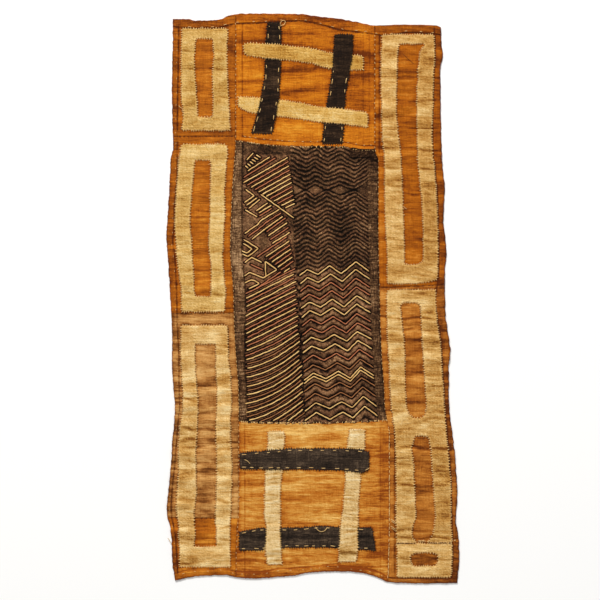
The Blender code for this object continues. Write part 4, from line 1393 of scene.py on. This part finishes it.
def bent_row(n):
    """Height of a row along the columns: the plain relief rows bend softly."""
    half = 11 if n < -1 else 3
    weight = np.hanning(2 * half + 3)[1:-1]
    row = np.pad(np.interp(COLUMNS, *kinks(n)), half, mode="edge")
    return np.convolve(row, weight / weight.sum(), "valid")


HEIGHTS = np.array([bent_row(n) for n in ROWS])


def row_at(x, y):
    """Number of the zigzag row that runs through a point."""
    out = np.zeros_like(x)
    col = np.clip(np.round((x - COLUMNS[0]) / 0.5).astype(int), 0, len(COLUMNS) - 1)
    order = np.argsort(col, kind="stable")
    cuts = np.searchsorted(col[order], np.arange(len(COLUMNS) + 1))
    for c in range(len(COLUMNS)):
        i = order[cuts[c]:cuts[c + 1]]
        if len(i):
            out[i] = np.interp(-y[i], -HEIGHTS[:, c], ROWS)
    return out


MIDDLE = smooth([Down(300, -46), Down(226, -42), Down(160, -40), Down(90, -36), Down(27, -31), Down(-120, -22), Down(-250, -14)])
LINE_START, LINE_RISE, LINE_GAP = -133.0, 55.0, 8.8


def line_shape(start, u):
    """Rise of a slanting line of the lower left: straight higher up, and
    curving upwards further down the panel."""
    a = 1.0 - 0.7 * ease((-70 - start) / 90) + 0.15 * ease((-190 - start) / 50)
    return LINE_RISE * (a * u + (1 - a) * u * u)


def line_at(x, y):
    u = np.clip((x - LINE_START) / 108.0, 0, 1.05)
    start = y - LINE_RISE * u
    for _ in range(4):
        start = y - line_shape(start, u)
    return (9.4 - start) / LINE_GAP


def fan(first, last, count, colours):
    """Lines between a first and a last one, evenly spread."""
    first, last = np.array(first, float), np.array(last, float)
    return [(colours[k % len(colours)], first + (last - first) * k / max(count - 1, 1))
            for k in range(count)]


def motifs():
    """Lines of the upper left: slanting fans, chevrons and one triangle."""
    out = []
    out += fan([(-130, 255), (-86, 283)], [(-138, 242), (-75, 281)], 2, "ct")
    out += fan([(-139, 231), (-50, 282)], [(-55, 181), (-36, 190)], 12, "ctctccctctcc")
    out += fan([(-135, 265), (-129, 260)], [(-113, 287), (-104, 282)], 6, "c")
    out += fan([(-132, 277), (-119, 291)], [(-132, 277), (-119, 291)], 1, "c")
    out += fan([(-134, 218), (-117, 205)], [(-134, 218), (-117, 205)], 1, "c")
    out += fan([(-137, 192), (-117, 205)], [(-128, 180), (-106, 198)], 3, "c")
    out += fan([(-113, 175), (-90, 191)], [(-108, 171), (-83, 186)], 2, "c")
    out += fan([(-135, 177), (-111, 163)], [(-135, 177), (-111, 163)], 1, "c")
    out += fan([(-104, 208), (-38, 161)], [(-104, 208), (-38, 161)], 1, "c")
    out += fan([(-107, 165), (-82, 180)], [(-107, 165), (-82, 180)], 1, "t")
    out += fan([(-136, 130), (-110, 148), (-102, 157), (-67, 178)],
               [(-122, 118), (-98, 137), (-84, 147), (-60, 164)], 3, "ct")
    out += fan([(-93, 133), (-54, 161)], [(-81, 110), (-46, 132)], 4, "tc")
    out += fan([(-112, 83), (-82, 103), (-52, 123)], [(-112, 83), (-82, 103), (-52, 123)], 1, "t")
    out += fan([(-94, 83), (-47, 115)], [(-64, 57), (-39, 75)], 6, "ct")
    out += [("c", np.array([(-58, 52), (-46, 61)], float)),
            ("t", np.array([(-114, 19), (-64, 53)], float)),
            ("c", np.array([(-138, 118), (-109, 100), (-129, 84), (-141, 89)], float)),
            ("c", np.array([(-139, 110), (-121, 99), (-132, 91), (-142, 95)], float)),
            ("c", np.array([(-136, 72), (-122, 82), (-102, 72)], float)),
            ("t", np.array([(-124, 68), (-99, 57)], float)),
            ("c", np.array([(-94, 44), (-95, 74), (-72, 58), (-99, 41), (-126, 52), (-137, 45)], float)),
            ("c", np.array([(-136, 31), (-124, 37), (-117, 36), (-107, 30), (-128, 19)], float))]
    return out


def embroidery():
    """All coloured lines: (colour, path)."""
    rng = np.random.default_rng(77)
    out = list(motifs())
    for k in range(35):
        start = 9.4 - LINE_GAP * k + rng.uniform(-0.6, 0.6)
        end = float(MIDDLE(start + LINE_RISE)) + rng.uniform(-3.5, 1.5)
        x = np.arange(LINE_START + rng.uniform(-2.5, 2.5), end, 3.0)
        y = start + line_shape(start, (x - LINE_START) / 108.0)
        y = y + 0.5 * wander(500 + k, x, 20)
        keep = y > PANEL_FOOT(x) + 3.5
        if keep.sum() > 3:
            colour = "t" if k % 2 == 0 else "c"
            if colour == "t" and k > 15:
                colour = "b"
            out.append((colour, np.column_stack([x[keep], y[keep]])))
    for n in range(17):
        at, up = kinks(n)
        colour = "cctt"[n % 4]
        if n > 12:
            colour = "bbmc"[n - 13]
        if n == 11:
            colour = "b"
        path = np.column_stack([at, up])
        path = path + rng.uniform(-0.8, 0.8, path.shape)
        rows = [(-1.6, "c"), (4.6, "c")] if n == 12 else [(0.0, colour)]
        for down, c in rows:
            out.append((c, path - (0, down)))
    return out


LINES = embroidery()
LINE_POINTS = np.vstack([resample(p, 1.0, closed=False) for _, p in LINES])
FOLD_EDGE = smooth([Across(70, 284), Across(78, 282), Across(104, 283), Across(118, 280),
                    Across(127, 276), Across(140, 275)])


def panel_values(x, y, d):
    """Where the pile rows run on the dark panel, and where none is."""
    right = x > MIDDLE(y)
    n = row_at(x, y)
    turned = row_at(x, 2 * MIRROR - y)
    upper = n < -10.0
    lens = upper & (turned < -10.0)
    rim = np.exp(-((n + 10.0) / 0.1) ** 2) + np.exp(-((turned + 10.0) / 0.1) ** 2)
    n = np.where(upper, np.maximum(turned, -10.0), n)
    phase_r = np.where(n < -0.5, 1.8421 * (n + 0.5), n + 0.5)
    phase_l = line_at(x, y) + 0.5
    low_left = ~right & (y < 30 - (x + 133) * -0.42 * 1.0) & (phase_l > 0.2)
    phase = np.where(right, phase_r, phase_l)
    ridged = np.where(right, np.where(lens, 0.0, 1.0), np.where(low_left, 1.0, 0.0))
    plain = np.maximum(ease((PLAIN_LEFT(y) - x) / 1.6 + 0.5), ease((x - PLAIN_RIGHT(y)) / 1.6 + 0.5))
    fold = (y > FOLD_EDGE(x)) & (x > 74)
    plain = np.where(fold, 1.0, plain)
    away = distance(np.column_stack([x, y]), LINE_POINTS)
    # Where the painted shade beside the coloured threads falls.
    near = np.exp(-((away - 1.9) / 1.3) ** 2)
    # Painted shade along the panel's edges, where it dips into its seams.
    tone = 0.07 * waves(61, x * 0.6, y, 30) - 0.3 * np.exp(-(d / 2.5) ** 2)
    tone = tone - 0.42 * np.exp(-((x - PLAIN_LEFT(y)) / 1.7) ** 2)
    # Painted shadow below the edge of the folded-over corner.
    tone = tone - 0.5 * np.exp(-((y - FOLD_EDGE(x) + 0.8) / 1.6) ** 2) * (x > 73)
    tone = tone - 0.12 * ease((-225 - y) / 15) * (x < -60) - 0.08 * (x > 108)
    tone = tone - 0.34 * np.exp(-((x + 94) / 8) ** 2 - ((y - 133) / 13) ** 2)
    tone = tone + np.where(lens & right & (x < 82), 0.2, 0.0) - 0.42 * np.minimum(rim, 1) * right * (x < 90) - 0.07 * (right & (y > 62) & ~lens) - np.where(fold, 0.2, 0.0)
    upper_left = ~right & (y > 25) & (y < 288)
    near = near * np.where(upper_left, 1.3, 1.0)
    tone = tone + (0.3 * np.exp(-(away / 4.5) ** 2) + 0.14) * upper_left
    phase = phase + 0.10 * waves(65, x, y, 10) + 0.12 * waves(66, x, y, 24)
    close = np.exp(-(away / 4.5) ** 2)
    warm = np.where(right, np.where(y < 62, 0.2, 0.1), np.where(y > 25, 0.9 * close, 0.35))
    warm = np.clip(warm + 0.12 * waves(67, x, y, 18), 0, 1)
    return {"phase": phase, "ridged": ridged, "plain": plain, "near": near, "tone": tone,
            "warm": warm}


def panel_upper(x, y, d):
    v = panel_values(x, y, np.full_like(d, 9.0))
    bend = 0.16 * waves(62, x, y, 7) + 0.14 * waves(63, x, y, 16)
    ridge = (0.5 + 0.5 * np.cos(2 * math.pi * (v["phase"] + bend))) * v["ridged"]
    worked = 1 - v["plain"]
    z = land(x, y) + worked * (0.25 + 0.75 * ridge - 0.3 * v["near"] + 0.2 * waves(64, x, y, 5))
    z = z + 1.0 * ((y > FOLD_EDGE(x)) & (x > 74)) * ease((x - 74) / 6)
    return np.maximum(z - 0.75 * np.exp(-(d / 1.5) ** 2), 0.25)


fold_x = np.arange(74, 132, 2.0)
FOLD_POINTS = np.vstack([np.column_stack([fold_x, FOLD_EDGE(fold_x) + o]) for o in (-1.5, -0.4, 0.4, 1.5)])
DARK_LOOP = panel_loop(plus(SEAM_L, -LAP), plus(SEAM_R, LAP), plus(PANEL_TOP, 4), plus(PANEL_FOOT, -4))
cloth("panel_dark_cloth", DARK, [DARK_LOOP], 1.75, panel_upper,
      lambda x, y, d: np.maximum(land(x, y) - CLOTH, 0.0), 1500, FOLD_POINTS, panel_values)

BUNDLES = {
    "c": Bundle("embroidery_cream", GOLD_THREAD), "t": Bundle("embroidery_terracotta", TERRA_THREAD),
    "b": Bundle("embroidery_brown", BROWN_THREAD), "m": Bundle("embroidery_tan", GOLD_THREAD),
}


def on_land(path, over_it, gap=1.6):
    p = resample(np.asarray(path, float), gap, closed=False)
    return np.column_stack([p, land(p[:, 0], p[:, 1]) + over_it])


for k, (colour, path) in enumerate(LINES):
    size = {"c": 1.12, "t": 1.06, "b": 0.92, "m": 0.98}[colour]
    BUNDLES[colour].thread(on_land(path, 0.72), size, 1.9, 6, 0.85, 600 + 3 * k, 0.3)


# ------------------------------------------------------------------- stitches
def covered_by(name, x, y):
    """Which points of a strip lie under another one."""
    above = {"strip_cream_b": ["strip_black_a"], "strip_black_a": ["strip_cream_a"],
             "strip_cream_a": ["strip_black_b"], "strip_black_b": ["strip_cream_b"],
             "strip_black_lower": ["strip_cream_c", "strip_cream_d"],
             "strip_cream_c": ["strip_black_upper"], "strip_cream_d": ["strip_black_upper"]}
    out = np.zeros(len(x), bool)
    for other in above.get(name, []):
        out |= inside(x, y, LOOPS[other + "_cloth"])
    return out


WHIP = {"cream": Bundle("whip_stitches_cream", PALE_THREAD),
        "black": Bundle("whip_stitches_black", DARK_THREAD)}
for k, (name, sewn, lift) in enumerate(STITCHES):
    rng = np.random.default_rng(4000 + k)
    bundle = WHIP["black" if "black" in name else "cream"]
    for p, out, along in sewn:
        free = ~covered_by(name, p[:, 0], p[:, 1])
        p, out, along = p[free], out[free], along[free]
        slant = rng.uniform(-0.2, 1.1, len(p))[:, None]
        reach = rng.uniform(0.7, 1.25, len(p))[:, None]
        rows = []
        for away, slide, up in ((-2.2, -0.5, 0.9), (-1.5, -0.3, 1.5), (-0.4, 0.0, 1.35),
                                (0.8, 0.3, 0.8), (1.5, 0.5, 0.05)):
            q = p + out * away * reach + along * slide * slant
            z = land(q[:, 0], q[:, 1]) + lift(q[:, 0], q[:, 1]) + up
            rows.append(np.column_stack([q, z]))
        paths = np.stack(rows, axis=1)
        v, f = tubes(paths, rng.uniform(0.55, 0.95, (len(p), 1)), 4, 1.0,
                     np.column_stack([along, np.zeros(len(p))]), 0.7)
        bundle.add(v, f)

PALE = Bundle("running_stitches", PALE_THREAD)
SEAM = Bundle("seam_threads", PALE_THREAD)
REDDISH = Bundle("hem_threads", RED_THREAD)


def dashes(bundle, way, line, low, high, height, length, space, radius, seed, slant=0.5,
           jitter=0.4, skip=None):
    """Running stitches along a line."""
    rng = np.random.default_rng(seed)
    s = low
    while s < high:
        long = length * rng.uniform(0.7, 1.3)
        a, b = s, min(s + long, high)
        s += space * rng.uniform(0.75, 1.3)
        if skip and skip(0.5 * (a + b)):
            continue
        q = np.linspace(a, b, 5)
        v = line(q) + rng.uniform(-jitter, jitter) + slant * rng.uniform(-1, 1) * np.linspace(-1, 1, 5)
        x, y = (v, q) if way == "down" else (q, v)
        z = height(x, y) + np.array([-0.5, 0.1, 0.25, 0.1, -0.5])
        bundle.thread(np.column_stack([x, y, z]), radius, 1.2, 5, 0.8)


def top_of(name):
    return lambda x, y: SURFACE[name](x, y) + 0.15


def at_rows(rows, key, inset):
    return smooth([(r[0], getattr(r, key) + inset) for r in rows])


for name, rows, seed in (("strip_black_a", STRIP_BLACK_A, 51), ("strip_black_b", STRIP_BLACK_B, 53)):
    hidden = (455, 494) if name.endswith("_a") else (347, 392)
    hidden = (477, 512) if name.endswith("_a") else hidden
    skip = lambda s, h=hidden: h[0] - 3 < s < h[1] + 3
    low = rows[-1].y + 6
    high = rows[0].y - 8 if name.endswith("_a") else 455
    dashes(PALE, "down", at_rows(rows, "left", 3.4), low, high, top_of(name), 9, 21, 0.75, seed, skip=skip)
    dashes(PALE, "down", at_rows(rows, "right", -3.4), low, high, top_of(name), 9, 22, 0.75, seed + 1, skip=skip)
for name, rows, seed, space in (("strip_black_upper", STRIP_BLACK_UPPER, 55, 21),
                                ("strip_black_lower", STRIP_BLACK_LOWER, 57, 20)):
    skip = None
    if name.endswith("lower"):
        skip = lambda s: -96 < s < -62 or 52 < s < 93
    dashes(PALE, "across", at_rows(rows, "top", -3.6), -142, 110, top_of(name), 8, space, 0.7, seed, skip=skip)
    dashes(PALE, "across", at_rows(rows, "bottom", 3.6), -142, 114, top_of(name), 8, space, 0.7, seed + 1, skip=skip)

SEAM_Z = lambda x, y: land(x, y) + 0.05
HEM_Z = lambda x, y: land(x, y) + 1.1
dashes(SEAM, "down", SEAM_L, -555, 552, SEAM_Z, 3.6, 9.5, 0.55, 61, 0.6)
dashes(SEAM, "down", SEAM_R, 300, 535, SEAM_Z, 3.6, 9.5, 0.6, 62, 0.5)
dashes(SEAM, "down", SEAM_R, -260, 296, SEAM_Z, 3.2, 11, 0.5, 63, 0.6)
dashes(SEAM, "down", SEAM_R, -562, -262, SEAM_Z, 6.5, 8, 0.7, 64, 0.7)
dashes(PALE, "across", plus(HEM_TOP_LINE, 1.8), -276, 252, HEM_Z, 6, 25, 0.5, 65, 0.3)
dashes(PALE, "across", plus(HEM_BOTTOM_LINE, -3.5), -262, 140, HEM_Z, 5, 21, 0.5, 66, 0.3)
dashes(PALE, "down", plus(HEM_LEFT_LINE, -2.0), -540, 535, HEM_Z, 3, 27, 0.4, 67, 0.3)
dashes(REDDISH, "across", CROSS_L1, -278, -158, SEAM_Z, 4, 8, 0.6, 68, 0.4)
dashes(REDDISH, "across", CROSS_L2, -282, -160, SEAM_Z, 4, 8, 0.6, 69, 0.4)
dashes(REDDISH, "across", CROSS_L3, -286, -156, SEAM_Z, 4, 9, 0.6, 70, 0.4)
dashes(REDDISH, "across", CROSS_R1, 138, 262, SEAM_Z, 4, 9, 0.6, 71, 0.4)
dashes(PALE, "across", plus(PANEL_TOP, 11), -138, 122, lambda x, y: land(x, y) + 0.2, 4, 13, 0.45, 72, 0.4)


dashes(REDDISH, "across", level(-489.5), 168, 206, top_of("frame_right_low"), 8, 8.5, 0.75, 73, 0.5)
dashes(REDDISH, "across", level(-488.8), 232, 279, top_of("frame_right_low"), 8, 8.5, 0.75, 74, 0.5)
dashes(REDDISH, "down", plus(HEM_LEFT_LINE, 0.6), -540, 540, HEM_Z, 5, 13, 0.4, 75, 0.5)
dashes(REDDISH, "across", plus(HEM_TOP_LINE, -1.4), -276, 252, lambda x, y: land(x, y) + 0.2, 7, 10, 0.5, 76, 0.4)


def frayed(line, low, high, seed, count, reach, over_it):
    """Short pale whip stitches and fray across the edge of a lapped panel."""
    rng = np.random.default_rng(seed)
    for x in np.sort(rng.uniform(low, high, count)):
        lean, long = rng.uniform(-1.6, 1.6), rng.uniform(0.5, 1.0) * reach
        y = float(line(x)) + rng.uniform(-0.8, 0.8)
        p = np.array([[x - lean, y - long], [x, y], [x + lean, y + long]])
        z = land(p[:, 0], p[:, 1]) + np.array([0.1, over_it, 0.3 * over_it])
        SEAM.thread(np.column_stack([p, z]), rng.uniform(0.35, 0.65), 1.0, 4, 0.9)


frayed(PANEL_FOOT, -148, 150, 81, 120, 2.4, 1.5)
frayed(PANEL_TOP, -152, 126, 82, 70, 1.8, 1.5)
frayed(level(-485), 202, 236, 83, 16, 2.0, 1.9)


def loose(path, over_it, radius=0.55, bundle=None):
    p = resample(np.asarray(path, float), 1.5, closed=False)
    p = soften(p, 6)
    hump = np.sin(np.linspace(0, math.pi, len(p)))
    z = land(p[:, 0], p[:, 1]) + over_it * (0.35 + 0.65 * hump)
    (bundle or PALE).thread(np.column_stack([p, z]), radius, 1.2, 5, 1.0)


loose([(-64, 544), (-66, 550), (-62, 556), (-56, 557), (-54, 552), (-58, 547), (-64, 546)], 2.6, 0.6)
loose([(-268, 386), (-265, 381), (-260, 380)], 2.4)
loose([(-212, 366), (-210, 362), (-206, 361)], 2.4, 0.45)
loose([(-210, 268), (-204, 270), (-199, 267)], 2.4, 0.4)
loose([(206, -6), (208, -9), (212, -12)], 2.4, 0.5)
loose([(186, -4), (190, -6), (194, -5)], 2.4, 0.4)
loose([(181, 185), (184, 181), (188, 179)], 2.0, 0.5)
loose([(-137, -322), (-131, -324), (-125, -331)], 3.0, 0.5)
loose([(6, -457), (9, -463), (17, -467), (25, -464), (29, -457)], 2.6, 0.6)
loose([(282, -483), (284, -486), (287, -484), (284, -482)], 2.2, 0.7)
loose([(-290, -479), (-286, -484), (-284, -489)], 1.2, 0.5)
loose([(180, 489), (191, 479), (202, 469)], 0.35, 0.45, REDDISH)
for a in (-441, -455):
    loose([(156, a), (161, a - 3), (166, a - 7)], 1.4, 0.7)
    loose([(157, a - 4), (162, a - 7), (166, a - 10)], 1.4, 0.55)

THREADS = [b.finish() for b in (*BUNDLES.values(), *WHIP.values(), PALE, SEAM, REDDISH)]
THREADS = [t for t in THREADS if t]


# --------------------------------------------------------- what each piece is
SLOTS = {
    "ground_left_top": "raffia_orange", "ground_left_mid": "raffia_orange",
    "ground_left_low": "raffia_tan", "ground_left_foot": "raffia_orange",
    "ground_right_top": "raffia_rust", "ground_right_low": "raffia_rust",
    "panel_top": "raffia_orange", "panel_dark": "raffia_dark", "panel_bottom": "raffia_gold",
}
for node in ("frame_left_top", "frame_left_mid", "frame_left_low", "frame_right_top",
             "frame_right_low", "frame_right_foot", "strip_cream_a", "strip_cream_b",
             "strip_cream_c", "strip_cream_d"):
    SLOTS[node] = "raffia_cream"
for node in ("strip_black_a", "strip_black_b", "strip_black_upper", "strip_black_lower"):
    SLOTS[node] = "raffia_black"

# Depth of the hem that each ground cloth turns over: across and along it.
HEMS = {
    "ground_left_top": (10, 14), "ground_left_mid": (12, 0), "ground_left_low": (10, 0),
    "ground_left_foot": (8, 12), "ground_right_top": (8, 14), "ground_right_low": (8, 7),
    "panel_top": (0, 14), "panel_bottom": (0, 12),
}
for node, slot in SLOTS.items():
    piece = PIECES[node + "_cloth"]
    loops = LOOPS[node + "_cloth"]
    w, h = loops[0].max(0) - loops[0].min(0)
    hem_x, hem_y = HEMS.get(node, (0, 0))
    area = area_of(loops[0]) - sum(abs(area_of(l)) for l in loops[1:])
    area += hem_x * h + hem_y * w
    flat = (round((w + hem_x) * MM, 3), round((h + hem_y) * MM, 3))
    area = min(area * MM * MM, flat[0] * flat[1])
    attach(piece, "root")
    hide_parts(node)
for t in THREADS:
    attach(t, "root")


# ------------------------------------------------------ floor, light, camera
def flat_plane(name, size, z, looks):
    me = bpy.data.meshes.new(name)
    me.from_pydata([(-size, -size, z), (size, -size, z), (size, size, z), (-size, size, z)],
                   [], [(0, 1, 2, 3)])
    me.materials.append(looks)
    obj = bpy.data.objects.new(name, me)
    bpy.context.scene.collection.objects.link(obj)
    return obj


pale = Net("pale_floor")
pale.bsdf.inputs["Base Color"].default_value = (0.93, 0.93, 0.925, 1)
pale.bsdf.inputs["Roughness"].default_value = 0.9
pale.bsdf.inputs["Specular IOR Level"].default_value = 0.1
floor = flat_plane("floor", 6.0, -0.0004, pale.mat)

scene = bpy.context.scene
scene.view_settings.view_transform = "Standard"
world = bpy.data.worlds.new("studio")
world.use_nodes = True
world.node_tree.nodes["Background"].inputs["Color"].default_value = (1.0, 0.995, 0.985, 1)
world.node_tree.nodes["Background"].inputs["Strength"].default_value = 0.42
scene.world = world


def lamp(name, place, target, size, power, colour=(1, 1, 1)):
    data = bpy.data.lights.new(name, "AREA")
    data.shape, data.size, data.energy, data.color = "DISK", size, power, colour
    obj = bpy.data.objects.new(name, data)
    obj.location = place
    obj.rotation_euler = (Vector(target) - Vector(place)).to_track_quat("-Z", "Y").to_euler()
    scene.collection.objects.link(obj)
    return obj


lamp("key", (-1.9, 6.3, 4.0), (0, 0, 0), 2.3, 722, (1.0, 0.985, 0.96))
lamp("fill", (0.9, -1.6, 3.2), (0, 0, 0), 2.4, 18)

cam_data = bpy.data.cameras.new("camera")
cam_data.sensor_width = 36.0
cam_data.lens = 200.0
cam_data.clip_end = 50.0
cam = bpy.data.objects.new("camera", cam_data)
cam.location = (-0.0256, -0.003, 1.2 * 200.0 / 36.0 + 0.002)
cam.rotation_euler = (0.0, 0.0, 0.0)
scene.collection.objects.link(cam)
scene.camera = cam
